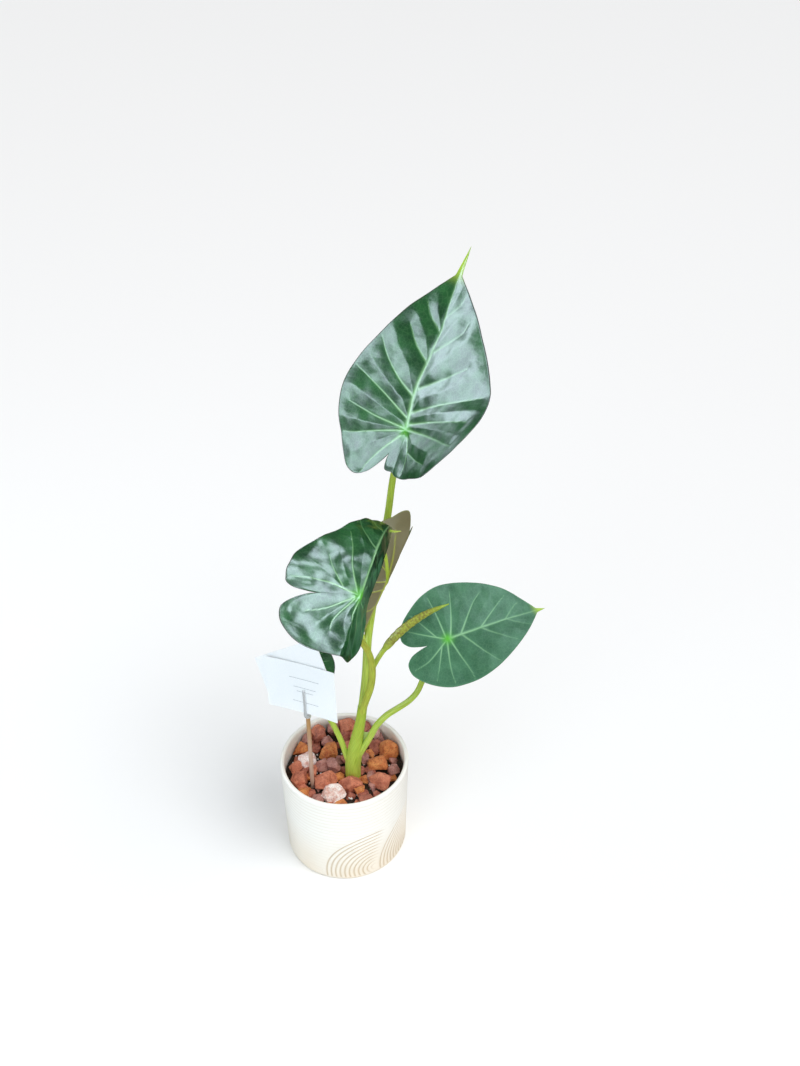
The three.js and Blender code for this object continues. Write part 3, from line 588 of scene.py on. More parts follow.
# Middles along each stem as [x, y, z, radius], from inside what carries it to its blade's joint.
CROWN = [
    [9.5, -7, 65.3, 8.4], [9.5, -7, 84, 8.6], [9.5, -7, 102, 8.4], [10, -7.5, 118, 8.5],
    [12, -7.2, 133, 8.3], [13.8, -6.8, 147, 7.1], [16.1, -6, 161.1, 6], [19.1, -5, 177.5, 5.2],
    [21.6, -3.6, 197, 4.9],
]
STALKS = {
    "leaf_1": [
        [20.6, -4.6, 189, 4.4], [23.8, 2, 214.7, 4.2], [25.5, 9, 231.8, 4.1], [27.5, 27, 261.8, 4],
        [31.8, 44, 287.7, 3.9], [38.3, 54, 331.1, 3.8], [48.7, 61, 392.6, 3.4],
        [53.9, 60, 435.2, 3.1], [59.8, 56, 465.9, 2.9], [66.3, 50, 491.6, 2.8]],
    "leaf_2": [
        [20, -5, 185, 3.4], [23.3, -7, 201.1, 3.7], [31.3, -14, 235.9, 3.6], [33, -22, 268, 3.4],
        [29.8, -32, 294.3, 3.2], [22, -48, 325, 3], [13, -72, 362, 2.8], [15, -100, 401, 2.6],
        [21.8, -116, 420, 2.5], [28.9, -124.4, 430.8, 2.5]],
    "leaf_3": [
        [11, -8, 121, 2.9], [16.5, -9.5, 132, 3.3], [28.9, -10, 159.2, 3.4], [36.6, -10, 176.6, 3.4],
        [47.1, -8, 188.9, 3.3], [58.6, -6, 196.9, 3.2], [70.1, -4, 205.4, 3.1],
        [78.3, -2, 215.5, 3], [84, 1, 229, 2.9], [93.3, 3, 254.4, 2.7], [101, 2, 270, 2.5],
        [108.4, 0, 284.3, 2.4]],
    "leaf_4": [
        [9, -7, 112, 2.9], [4, -6.5, 123, 3], [-1.4, -4.5, 145, 3], [-9, -1, 165, 2.9],
        [-20, 8, 184, 2.7], [-29, 22, 204, 2.5], [-35, 38, 222, 2.3]],
    "leaf_5": [
        [31, -27, 282, 2.4], [23.9, -22, 306, 2.3], [21.6, -14, 325.5, 2.2], [22.5, -8, 351, 2],
        [26.6, -3, 376.6, 1.9], [34.3, 2, 391.5, 1.8], [41.7, 9, 390.2, 1.8], [46.3, 13, 377.6, 1.8],
        [48.3, 15, 355, 1.8], [47.9, 20, 338.9, 1.8]],
}
STEM_SIDES = 32
STEM_STEPS = 9  # between two middles
STALK_END_GAP = 1.8  # from a stalk's end to the middle of its blade, mm
STALK_END_SHARE = 0.55  # of its radius that a stalk keeps at its end
RIB_WIDTH, RIB_STRETCH = 0.625, 0.035


def through(knots, steps):
    """Points on a smooth curve through the knots, with the given steps between two of them."""
    knots = np.asarray(knots, dtype=float)
    ends = np.vstack([2 * knots[0] - knots[1], knots, 2 * knots[-1] - knots[-2]])
    made = []
    for i in range(len(knots) - 1):
        a, b, c, d = ends[i:i + 4]
        ab, bc, cd = (np.linalg.norm(q - p) ** 0.5 for p, q in ((a, b), (b, c), (c, d)))
        start = ((b - a) / ab - (c - a) / (ab + bc) + (c - b) / bc) * bc
        end = ((c - b) / bc - (d - b) / (bc + cd) + (d - c) / cd) * bc
        t = np.linspace(0, 1, steps, endpoint=False)[:, None]
        made.append(b + start * t + (3 * (c - b) - 2 * start - end) * t ** 2
                    + (2 * (b - c) + start + end) * t ** 3)
    return np.vstack(made + [knots[-1:]])


def grown_tube(knots, section, steps=STEM_STEPS, sides=STEM_SIDES):
    """A closed tube through [x, y, z, radius] knots. The section gives the radius's share at
    an angle and at a share of the way along."""
    knots = np.asarray(knots, dtype=float)
    middles = through(knots[:, :3], steps)
    spans = np.linspace(0, len(knots) - 1, len(middles))
    radii = np.interp(spans, np.arange(len(knots)), knots[:, 3])
    radii = np.convolve(np.pad(radii, 3, mode="edge"), np.ones(7) / 7, mode="valid")
    tangents = np.gradient(middles, axis=0)
    tangents /= np.linalg.norm(tangents, axis=1, keepdims=True)
    side = np.array([1.0, 0, 0])
    travelled = np.concatenate([[0], np.cumsum(np.linalg.norm(np.diff(middles, axis=0), axis=1))])
    around = np.linspace(0, 2 * np.pi, sides, endpoint=False)
    points, skin = [], []
    for i, (middle, tangent) in enumerate(zip(middles, tangents)):
        side = side - tangent * side.dot(tangent)
        side /= np.linalg.norm(side)
        other = np.cross(tangent, side)
        share = travelled[i] / travelled[-1]
        reach = radii[i] * section(around, share)
        points.append(middle + np.outer(reach * np.cos(around), side)
                      + np.outer(reach * np.sin(around), other))
        skin.append(np.stack([around * radii[i], 0 * around + travelled[i], 0 * around + share], -1))
    faces = wrapped_grid(len(middles), sides)
    last = (len(middles) - 1) * sides
    faces += [tuple(range(sides - 1, -1, -1)), tuple(range(last, last + sides))]
    return np.vstack(points), faces, np.vstack(skin)


def mark(piece, name, values):
    """Keeps three numbers at each point, which the piece's material reads."""
    layer = piece.data.attributes.new(name, "FLOAT_VECTOR", "POINT")
    layer.data.foreach_set("vector", np.asarray(values, dtype=np.float32).ravel())


def petiole_tissue(name, foot, top, streak):
    """Living stalk tissue: smooth and juicy, paler at its foot, with fine darker ribs that run
    lengthwise and a soft glow where light gets under its skin."""
    material, tree, shader = new_surface(
        f"petiole_{name}", 0.38, 1.45, Subsurface_Weight=0.12, Subsurface_Scale=0.002,
        Coat_Weight=0.15, Coat_Roughness=0.25)
    skin = add_node(tree, "ShaderNodeAttribute", attribute_name="skin")
    parts = add_node(tree, "ShaderNodeSeparateXYZ", links={0: skin.outputs["Vector"]})
    length_tone = add_node(tree, "ShaderNodeMix", {6: linear(foot), 7: linear(top)},
                           {0: parts.outputs["Z"]}, data_type="RGBA")
    squeezed = add_node(tree, "ShaderNodeVectorMath", {1: (1.0, RIB_STRETCH, 0.0)},
                        {0: skin.outputs["Vector"]}, operation="MULTIPLY")
    ribs = add_node(tree, "ShaderNodeTexNoise", {"Scale": 1 / RIB_WIDTH, "Detail": 4.0},
                    {"Vector": squeezed.outputs[0]})
    contrast = add_node(tree, "ShaderNodeMapRange",
                        {"From Min": 0.42, "From Max": 0.68, "To Min": 0.0, "To Max": 0.75},
                        {"Value": ribs.outputs["Fac"]})
    ribbed = add_node(tree, "ShaderNodeMix", {7: linear(streak)},
                      {0: contrast.outputs[0], 6: length_tone.outputs[2]}, data_type="RGBA")
    tree.links.new(ribbed.outputs[2], shader.inputs["Base Color"])
    bump = add_node(tree, "ShaderNodeBump", {"Strength": 0.3, "Distance": 0.0004},
                    {"Height": ribs.outputs["Fac"]})
    tree.links.new(bump.outputs[0], shader.inputs["Normal"])
    return material


green_petiole = petiole_tissue("green", "#c3db62", "#a6bd38", "#869f2c")
olive_petiole = petiole_tissue("olive", "#b9cc4a", "#a8a83a", "#8a802c")


def seam(around, middle, width, depth):
    """A shallow lengthwise groove in a stem's section."""
    gap = (around - middle + np.pi) % (2 * np.pi) - np.pi
    return depth * np.exp(-(gap / width) ** 2)


def crown_section(around, share):
    """Sheaths wrap the stem base: two seams wander up it and part where the stalks leave."""
    wrap = seam(around, 4.3 + 0.5 * share, 0.16, 0.1 * smoothstep(0.35, 0.95, share))
    fold = seam(around, 1.2 - 0.6 * share, 0.2, 0.07 * smoothstep(0.4, 0.8, share))
    return 1 + 0.03 * np.cos(2 * around + 1) - wrap - fold


def stalk_section(around, share):
    """Nearly round, with a channel along the side that faced its sheath, and narrowed to its end."""
    end = 1 - 0.35 * smoothstep(0.975, 1, share)
    return (1 + 0.04 * np.cos(2 * around) - seam(around, 1.9, 0.3, 0.1 * (1 - share))) * end


def shortened(knots, gap):
    """The same knots, with the last one drawn back, so that the stalk ends under its blade."""
    last, before = np.array(knots[-1]), np.array(knots[-2])
    back = (before - last) * gap / np.linalg.norm(before[:3] - last[:3])
    end = last + back
    end[3] *= STALK_END_SHARE
    return knots[:-1] + [list(end)]


def grown_piece(name, knots, section, material, slot, nodes):
    points, faces, skin = grown_tube(knots, section)
    piece = new_piece(name, points, faces, material, slot, nodes)
    mark(piece, "skin", skin)
    return piece


grown_piece("stem_base", CROWN, crown_section, green_petiole, "green_stem", ["crown"])
for leaf_name, knots in STALKS.items():
    olive = leaf_name == "leaf_2"
    grown_piece(f"{leaf_name}_petiole", shortened(knots, STALK_END_GAP), stalk_section,
                olive_petiole if olive else green_petiole,
                "olive_stem" if olive else "green_stem", [f"{leaf_name}_stalk"])

# The sheath of the low right stalk opens into a thin wing against the stem base.
WING_FOOT, WING_TOP = 128.0, 168.0
WING_ROWS, WING_COLUMNS = 24, 12
WING_THICKNESS = 0.5
WING_SLANT, WING_BULGE, WING_DIP = 3.0, 1.6, 7.0  # up to the stalk, forward, and of its top edge


def sheet_faces(rows, columns):
    """Faces of a thin closed sheet: a front and a back grid of points, and the rim between."""
    count = rows * columns
    faces = []
    for i in range(rows - 1):
        for j in range(columns - 1):
            a = i * columns + j
            faces.append((a, a + 1, a + columns + 1, a + columns))
            faces.append((count + a, count + a + columns, count + a + columns + 1, count + a + 1))
    rim = list(range(columns)) + [i * columns + columns - 1 for i in range(1, rows)]
    rim += [(rows - 1) * columns + j for j in range(columns - 2, -1, -1)]
    rim += [i * columns for i in range(rows - 2, 0, -1)]
    return faces + [(b, a, count + a, count + b) for a, b in zip(rim, rim[1:] + rim[:1])]


def sheath_wing():
    """Points of the wing between the stem base and the stalk, its front first."""
    stem_line = through([knot[:3] for knot in CROWN], 12)
    stalk_line = through([knot[:3] for knot in STALKS["leaf_3"]], 12)
    points = []
    for face_side in (-1, 1):
        for row in np.linspace(0, 1, WING_ROWS):
            height = WING_FOOT + (WING_TOP - WING_FOOT) * row
            from_stem = np.array([np.interp(height, stem_line[:, 2], axis) for axis in stem_line.T])
            to_stalk = np.array([np.interp(height + WING_SLANT * row, stalk_line[:, 2], axis)
                                 for axis in stalk_line.T])
            for column in np.linspace(0, 1, WING_COLUMNS):
                place = from_stem * (1 - column) + to_stalk * column
                place[1] += WING_BULGE * math.sin(column * math.pi) * row
                place[1] += face_side * WING_THICKNESS / 2
                place[2] -= WING_DIP * row * 4 * column * (1 - column)
                points.append(place)
    return np.array(points)


wing = sheath_wing()
sheath = new_piece("sheath_wing", wing, sheet_faces(WING_ROWS, WING_COLUMNS),
                   petiole_tissue("sheath", "#b9d07c", "#c3d592", "#9dba58"), "green_stem")
mark(sheath, "skin", np.column_stack([wing[:, 0], wing[:, 2], np.zeros(len(wing))]))

# ------------------------------------------------------------------ rolled leaf
# The youngest leaf on its short stalk, still rolled up like a cigar. One edge of the roll laps
# over the other in a long seam, and the outside shows the leaf's brownish underside.

ROLLED = [
    [31.5, -19, 256, 2.3], [35, -16.5, 264, 2.5], [39.8, -14, 272.8, 2.5], [45.2, -10.6, 280, 2.6],
    [48.5, -9.5, 284, 4.1], [61.4, -6, 298.5, 4.4], [74.9, 0, 307.1, 4.0], [88.3, 4, 314, 3.1],
    [101, 7.5, 318.5, 1.7], [109.1, 10, 320.5, 0.5],
]


def rolled_section(around, share):
    """The lap of the roll: its edge steps down once round, further along further round."""
    turned_on = (around - 3.6 - 1.6 * share) % (2 * np.pi) / (2 * np.pi)
    lap = 0.26 * (turned_on - 0.5) * smoothstep(0.28, 0.36, share)
    ripple = 0.05 * np.sin(share * 95 + 2 * around) * smoothstep(0.3, 0.4, share)
    return 1 + lap + ripple


def rolled_tissue():
    """A young blade's underside: olive with brown blotches of about 2 by 3 mm, on a bright
    green stalk."""
    material, tree, shader = new_surface("rolled_young_leaf", 0.42, 1.45, Coat_Weight=0.2)
    skin = add_node(tree, "ShaderNodeAttribute", attribute_name="skin")
    parts = add_node(tree, "ShaderNodeSeparateXYZ", links={0: skin.outputs["Vector"]})
    bands = add_node(tree, "ShaderNodeVectorMath", {1: (0.35, 0.5, 0.0)},
                     {0: skin.outputs["Vector"]}, operation="MULTIPLY")
    blotch = add_node(tree, "ShaderNodeTexNoise", {"Scale": 1.0, "Detail": 5.0},
                      {"Vector": bands.outputs[0]})
    spread = add_node(tree, "ShaderNodeMapRange", {"From Min": 0.4, "From Max": 0.62},
                      {"Value": blotch.outputs["Fac"]})
    leafy = add_node(tree, "ShaderNodeMix", {6: linear("#a0ac40"), 7: linear("#827a36")},
                     {0: spread.outputs[0]}, data_type="RGBA")
    start = add_node(tree, "ShaderNodeMapRange", {"From Min": 0.3, "From Max": 0.36},
                     {"Value": parts.outputs["Z"]})
    whole = add_node(tree, "ShaderNodeMix", {6: linear("#a5b93f")},
                     {0: start.outputs[0], 7: leafy.outputs[2]}, data_type="RGBA")
    end = add_node(tree, "ShaderNodeMapRange", {"From Min": 0.8, "From Max": 0.97},
                   {"Value": parts.outputs["Z"]})
    tipped = add_node(tree, "ShaderNodeMix", {7: linear("#93b23a")},
                      {0: end.outputs[0], 6: whole.outputs[2]}, data_type="RGBA")
    tree.links.new(tipped.outputs[2], shader.inputs["Base Color"])
    bump = add_node(tree, "ShaderNodeBump", {"Strength": 0.4, "Distance": 0.0006},
                    {"Height": blotch.outputs["Fac"]})
    tree.links.new(bump.outputs[0], shader.inputs["Normal"])
    return material


grown_piece("rolled_young_leaf", ROLLED, rolled_section, rolled_tissue(), "olive_stem",
            ["rolled_leaf"])

# ------------------------------------------------------------------ leaf blades
# Arrow-shaped blades with a deep notch where the stalk joins. A thick midrib and side veins run
# sunken to the edge, the tissue between them puffs up, and the waxy skin shines.

# Reach from the joint as a share of the blade's length, at angles in degrees from the tip.
OUTLINE_ANGLES = [0, 8, 18, 32, 50, 75, 100, 125, 148, 163, 172, 177, 180]
OUTLINE_REACH = [1, 0.88, 0.775, 0.665, 0.575, 0.515, 0.475, 0.46, 0.46, 0.43, 0.36, 0.26, 0.19]
SHAPE_ANGLES = [0, 25, 75, 125, 160, 180]
BLADE_THICKNESS = 0.75
VEIN_SINK, VEIN_RISE = 0.18, 0.5  # of the veins into the upper side and out of the underside
PUFF_RUN = 11.0  # from a vein to where the tissue beside it has risen
BOSS_RADIUS = 3.4  # of the swelling where the stalk joins
HALO_WIDTH = 3.2  # of the paler tissue along a vein
RIM_WIDTH = 1.6

# Lengths are in mm and angles in radians. A blade hangs from its joint by a turn about Z, a rise
# about X and a roll about its midrib. Its halves fold up by [left, right] at the tip and [left,
# right] at the back, the front arches, twists and swings at its rates, and the skew moves the
# notch round the joint. left and right are the outline's fullness at the shape angles. Veins are
# [width, points], the points [across, along] from the joint; puff is how far the tissue stands up
# between them, ripple how uneven it is, and drip the length of the thread at the tip.
LEAVES = {
    "leaf_1": dict(
        joint=(66.3, 50, 491.6), length=153.6, turn=-0.54, rise=1.04, roll=-0.28,
        fold=(0.23, 0.18, 0.22, 0.46), rates=(-0.16, 0.15, -0.04), back_arch=0.05, skew=0.44,
        left=[1, 1, 1.11, 1.02, 1.02, 0.94], right=[1, 1.05, 1.32, 0.75, 0.61, 0.94],
        wave=2.2, waves=5, drip=26, puff=2.9, ripple=0.35,
        veins=[
            (4.2, [(0, -2), (-3, 32), (-1, 57), (4, 92), (0, 150), (0, 176)]),
            (2.4, [(-3, 32), (-24, 46), (-43, 64), (-52, 78)]), (2.0, [(0, 65), (-17, 80), (-29, 96)]),
            (2.4, [(-4, 12), (-39, 31), (-73, 47)]), (2.6, [(-3, 2), (-37, 6), (-68, 13)]),
            (2.4, [(-3, 0), (-31, -7), (-57, -14), (-68, -16)]),
            (2.4, [(-2, -2), (-22, -24), (-33, -40), (-38, -56)]),
            (2.4, [(1, -2), (13, -19), (16, -38), (14, -52)]), (1.8, [(13, -19), (34, -23), (55, -25)]),
            (2.6, [(1, 1), (45, 0), (89, -3)]), (2.4, [(0, 6), (42, 14), (86, 21)]),
            (2.4, [(-1, 17), (44, 32), (88, 45)]), (2.2, [(0, 40), (30, 54), (54, 67)]),
            (2.0, [(5, 76), (33, 98), (36, 108)]), (1.6, [(3, 108), (16, 122), (20, 132)]),
            (1.6, [(2, 96), (-14, 110), (-20, 120)])]),
    "leaf_2": dict(
        joint=(28.9, -124.4, 430.8), length=159.7, turn=-0.29, rise=0.37, roll=0.77,
        fold=(-0.37, -1.05, -0.18, -0.86), rates=(-1.02, -0.14, -0.55), back_arch=-0.18, skew=1.14,
        left=[1, 0.84, 0.78, 0.87, 0.93, 1.15], right=[1, 0.83, 0.74, 0.76, 1.04, 1.46],
        wave=2.5, waves=6, drip=9, puff=2.4, ripple=0.5,
        veins=[
            (2.7, [(0, -2), (0, 30), (-1, 55), (-1, 77), (0, 139), (0, 165)]),
            (1.6, [(-4, 2), (-16, 27), (-21, 47), (-28, 66)]), (1.4, [(-17, 2), (-29, 13), (-37, 26)]),
            (1.9, [(-2, 0), (-35, -2), (-60, -12)]), (1.6, [(-4, -3), (-25, -25), (-41, -36)]),
            (1.5, [(-4, -5), (-15, -31), (-14, -40)]), (1.5, [(0, -3), (0, -23), (13, -33)]),
            (1.5, [(3, 2), (17, 27), (24, 47), (32, 64)]), (1.5, [(4, 0), (35, 4), (58, -4)]),
            (1.5, [(4, -4), (25, -22), (40, -34)]), (1.4, [(0, 50), (22, 70), (34, 90)]),
            (1.4, [(-1, 56), (-18, 76), (-26, 92)]), (1.1, [(0, 90), (-13, 108), (-17, 118)]),
            (1.1, [(0, 90), (13, 108), (17, 118)])]),
    "leaf_3": dict(
        joint=(108.4, 0, 284.3), length=106.6, turn=-1.28, rise=0.21, roll=0.5,
        fold=(0.13, 0.24, 0.17, 0.1), rates=(-0.48, -0.03, 0.09), back_arch=-0.13, skew=0.02,
        left=[1, 1.05, 1.04, 0.98, 1.01, 1.06], right=[1, 0.94, 1.01, 1.04, 1.06, 1.06],
        wave=1.2, waves=5, drip=10, puff=1.3, ripple=0.4,
        veins=[
            (2.8, [(0, -2), (0, 36), (0, 70), (0, 116)]),
            (1.7, [(0, 3), (-16, 10), (-33, 16), (-46, 20)]), (1.7, [(-1, -1), (-28, -2), (-46, -4)]),
            (1.6, [(-1, 15), (-28, 40), (-36, 52)]), (1.5, [(0, 36), (-19, 65), (-24, 74)]),
            (1.7, [(-1, -2), (-12, -21), (-23, -38)]), (1.3, [(-6, -10), (-24, -20), (-38, -28)]),
            (1.7, [(0, 2), (22, 5), (44, 8), (52, 8)]), (1.6, [(0, 15), (35, 32), (45, 38)]),
            (1.5, [(0, 36), (18, 53), (27, 64)]), (1.7, [(1, -1), (33, -9), (47, -10)]),
            (1.7, [(1, -2), (16, -26), (20, -42)]), (1.3, [(5, -8), (28, -20), (38, -26)]),
            (1.2, [(0, 66), (12, 82), (15, 88)]), (1.2, [(0, 64), (-12, 82), (-14, 88)])]),
    "leaf_4": dict(
        joint=(-35, 38, 222), length=54, turn=-2.9, rise=-0.3, roll=-0.1,
        fold=(0.15, 0.15, 0.15, 0.15), rates=(-0.2, 0, 0), back_arch=0, skew=0,
        left=[1, 0.95, 0.95, 0.95, 0.95, 1], right=[1, 0.95, 0.95, 0.95, 0.95, 1],
        wave=0.8, waves=4, drip=1.5, puff=0.5, ripple=0.2,
        veins=[(2.0, [(0, -1), (0, 30), (0, 54)])]
        + [(1.2, [(0, v0), (s * 12, v1), (s * 20, v2)]) for s in (-1, 1) for v0, v1, v2 in
           ((0, 2, 3), (6, 14, 20), (16, 25, 32), (0, -7, -10), (-1, -14, -20))]),
    "leaf_5": dict(
        joint=(47.9, 20, 338.9), length=98, turn=1.475, rise=-1.21, roll=1.733,
        fold=(0.05, 1.7, 0.05, 1.7), rates=(0.05, 0, 0), back_arch=0.55, skew=0,
        left=[1, 1, 1, 1.15, 1.6, 2.9], right=[1, 0.5, 0.5, 0.6, 0.8, 2.9],
        wave=0.8, waves=4, drip=0.5, puff=0.5, ripple=0.25,
        veins=[
            (2.6, [(0, -2), (0, 40), (0, 98)]), (2.2, [(-1, -2), (-4, -24), (-7, -36), (-14, -56)]),
            (1.3, [(-1, -2), (-9, 4), (-24, 9)]), (1.3, [(-1, 32), (-4, 40), (-12, 48)]),
            (1.3, [(-1, 10), (-16, 24), (-28, 34)]), (1.3, [(-2, -10), (-20, -20), (-36, -30)]),
            (1.6, [(1, -2), (6, -24), (12, -44)]), (1.3, [(1, 8), (12, 20), (18, 27)]),
            (1.2, [(-1, 58), (-10, 68), (-16, 74)])]),
}


def monotone(xs, ys, x):
    """A smooth curve through the knots that never overshoots them, at the places x."""
    xs, ys = np.asarray(xs, dtype=float), np.asarray(ys, dtype=float)
    steps, slopes = np.diff(xs), np.diff(ys) / np.diff(xs)

    def edge(h0, h1, s0, s1):
        d = ((2 * h0 + h1) * s0 - h0 * s1) / (h0 + h1)
        if np.sign(d) != np.sign(s0):
            return 0.0
        return 3 * s0 if np.sign(s0) != np.sign(s1) and abs(d) > 3 * abs(s0) else d

    tangents = [edge(steps[0], steps[1], slopes[0], slopes[1])]
    for h0, h1, s0, s1 in zip(steps, steps[1:], slopes, slopes[1:]):
        w0, w1 = 2 * h1 + h0, h1 + 2 * h0
        tangents.append(0.0 if s0 * s1 <= 0 else (w0 + w1) / (w0 / s0 + w1 / s1))
    tangents.append(edge(steps[-1], steps[-2], slopes[-1], slopes[-2]))
    tangents = np.array(tangents)
    k = np.clip(np.searchsorted(xs, x, side="right") - 1, 0, len(xs) - 2)
    t = np.clip((x - xs[k]) / steps[k], 0, 1)
    return ((1 + 2 * t) * (1 - t) ** 2 * ys[k] + t * t * (3 - 2 * t) * ys[k + 1]
            + steps[k] * (t * (1 - t) ** 2 * tangents[k] - t * t * (1 - t) * tangents[k + 1]))


def rotation(axis, angle):
    """Rotation matrices about one axis, for a number or an array of angles."""
    x, y, z = axis
    cross = np.array([[0, -z, y], [z, 0, -x], [-y, x, 0]])
    s, c = np.sin(angle)[..., None, None], np.cos(angle)[..., None, None]
    return np.eye(3) + s * cross + (1 - c) * (cross @ cross)


def blade_surface(leaf, u, v, wave, lift):
    """The places of a blade's points: across and along from the joint, with the height of the
    edge's wave and a lift off the blade's middle surface."""
    length = leaf["length"]
    tip_left, tip_right, back_left, back_right = leaf["fold"]
    to_tip = smoothstep(-0.25, 0.35, v / length)
    fold = np.where(u < 0, back_left + (tip_left - back_left) * to_tip,
                    back_right + (tip_right - back_right) * to_tip)
    crease = 1.2  # the fold along the midrib is rounded over this much
    out = np.hypot(u, crease) - crease
    lean = np.tanh(u / 2) * np.sin(fold)
    across = np.stack([u * np.cos(fold) - lift * lean, 0 * u, out * np.sin(fold) + wave
                       + lift * np.cos(fold)], -1)
    result = np.zeros((len(u), 3))
    forward = np.array([0.0, 1, 0])
    for part, rates in ((v > 0, leaf["rates"]), (v <= 0, (leaf["back_arch"] or 1e-4, 0, 0))):
        rates = np.array(rates) / length
        rate = np.linalg.norm(rates)
        axis = rates / rate
        angle = rate * v[part]
        place = (np.outer(np.sin(angle) / rate, forward)
                 + np.outer((1 - np.cos(angle)) / rate, np.cross(axis, forward))
                 + np.outer((v[part] - np.sin(angle) / rate) * axis[1], axis))
        result[part] = place + np.einsum("nij,nj->ni", rotation(axis, angle), across[part])
    hang = (rotation((0, 0, 1), np.array(leaf["turn"])) @ rotation((1, 0, 0), np.array(leaf["rise"]))
            @ rotation((0, 1, 0), np.array(leaf["roll"])))
    return result @ hang.T + leaf["joint"]


def vein_field(u, v, veins):
    """How near each point lies to a vein, in mm, and how much of a vein is at it, from 0 to 1."""
    nearest, strength = np.full(len(u), 99.0), np.zeros(len(u))
    for width, knots in veins:
        line = through(knots, 6)
        run = np.concatenate([[0], np.cumsum(np.linalg.norm(np.diff(line, axis=0), axis=1))])
        for (a, b), start, end in zip(zip(line, line[1:]), run, run[1:]):
            t = np.clip(((u - a[0]) * (b[0] - a[0]) + (v - a[1]) * (b[1] - a[1]))
                        / (end - start) ** 2, 0, 1)
            gap = np.hypot(u - a[0] - t * (b[0] - a[0]), v - a[1] - t * (b[1] - a[1]))
            half_width = width / 2 * (1 - 0.62 * (start + t * (end - start)) / run[-1])
            strength = np.maximum(strength, np.exp(-(gap / half_width) ** 2))
            nearest = np.minimum(nearest, gap)
    return nearest, strength


def blade_piece(name, leaf, material, slot):
    """A thin closed blade on a fan of spokes round its joint, with its veins and puffs."""
    length = leaf["length"]
    # The points lie about 1 mm apart.
    half_count = int(60 + 1.3 * length)
    rings = int(16 + 0.42 * length)
    half_turn = 180 * np.linspace(0, 1, half_count) ** 1.35
    degrees = np.concatenate([half_turn, half_turn[-2:0:-1]])
    side = np.concatenate([np.ones(half_count), -np.ones(half_count - 2)])
    fullness = np.where(side > 0, monotone(SHAPE_ANGLES, leaf["right"], degrees),
                        monotone(SHAPE_ANGLES, leaf["left"], degrees))
    reach = length * monotone(OUTLINE_ANGLES, OUTLINE_REACH, degrees) * fullness
    angle = np.radians(degrees)
    skewed = angle * (1 + side * leaf["skew"] / np.pi)
    share = np.linspace(0.012, 1, rings)[:, None]
    spike = leaf["drip"] * np.clip(1 - degrees / 1.5, 0, 1) ** 1.3 * share ** 9
    distance = share * reach + spike
    u = (side * distance * np.sin(skewed)).ravel()
    v = (distance * np.cos(skewed)).ravel()
    share, angle = np.broadcast_to(share, distance.shape).ravel(), np.tile(angle, rings)
    calm = smoothstep(0, 0.35, angle) * (1 - smoothstep(2.8, np.pi, angle))
    wave = leaf["wave"] * np.sin(leaf["waves"] * angle + np.tile(side, rings)) * share ** 3 * calm
    nearest, vein = vein_field(u, v, leaf["veins"])
    flat = np.stack([u, v, 0 * u], -1)
    room = smoothstep(0, 0.14, share) * (1 - 0.6 * smoothstep(0.86, 1, share))
    seed = int(length)
    ripples = rounded_noise(flat, 26, seed) + 0.4 * rounded_noise(flat, 12, seed + 1)
    puff = leaf["puff"] * (0.65 - np.exp(-(nearest / PUFF_RUN) ** 1.35))
    lift = room * (puff + leaf["ripple"] * ripples)
    thin = BLADE_THICKNESS / 2 * (1 - 0.45 * smoothstep(0.97, 1, share))
    joint_gap = np.hypot(u, v)
    boss = np.exp(-(joint_gap / BOSS_RADIUS) ** 2)
    top = blade_surface(leaf, u, v, wave, lift + thin - VEIN_SINK * vein + 0.5 * boss)
    bottom = blade_surface(leaf, u, v, wave, lift - thin - VEIN_RISE * vein * room - 1.6 * boss)
    count = len(u)
    spokes = len(degrees)
    faces = [tuple(reversed(face)) for face in wrapped_grid(rings, spokes)]
    faces += [tuple(count + i for i in reversed(face)) for face in faces]
    last = (rings - 1) * spokes
    for k in range(spokes):
        a, b = last + k, last + (k + 1) % spokes
        faces.append((a, b, count + b, count + a))
    faces.append(tuple(range(spokes)))
    faces.append(tuple(count + k for k in range(spokes - 1, -1, -1)))
    piece = new_piece(f"{name}_leaf_blade", np.vstack([top, bottom]), faces, material, slot,
                      [f"{name}_blade"])
    mark(piece, "flat_place", np.vstack([flat, flat]))
    halo = np.exp(-nearest / HALO_WIDTH)
    hub = np.exp(-(joint_gap / (0.03 * length + 2.2)) ** 2)
    paleness = vein * (0.35 + 0.65 * (1 - share))
    mark(piece, "tissue", np.tile(np.stack([paleness, halo, hub], -1), (2, 1)))
    margin = smoothstep(1 - RIM_WIDTH / np.tile(reach, rings), 1, share)
    tip = smoothstep(0.9 * length, 1.03 * length, v)
    under = np.repeat([0.0, 1.0], count)
    mark(piece, "side", np.stack([under, np.tile(margin, 2), np.tile(tip, 2)], -1))
    return piece


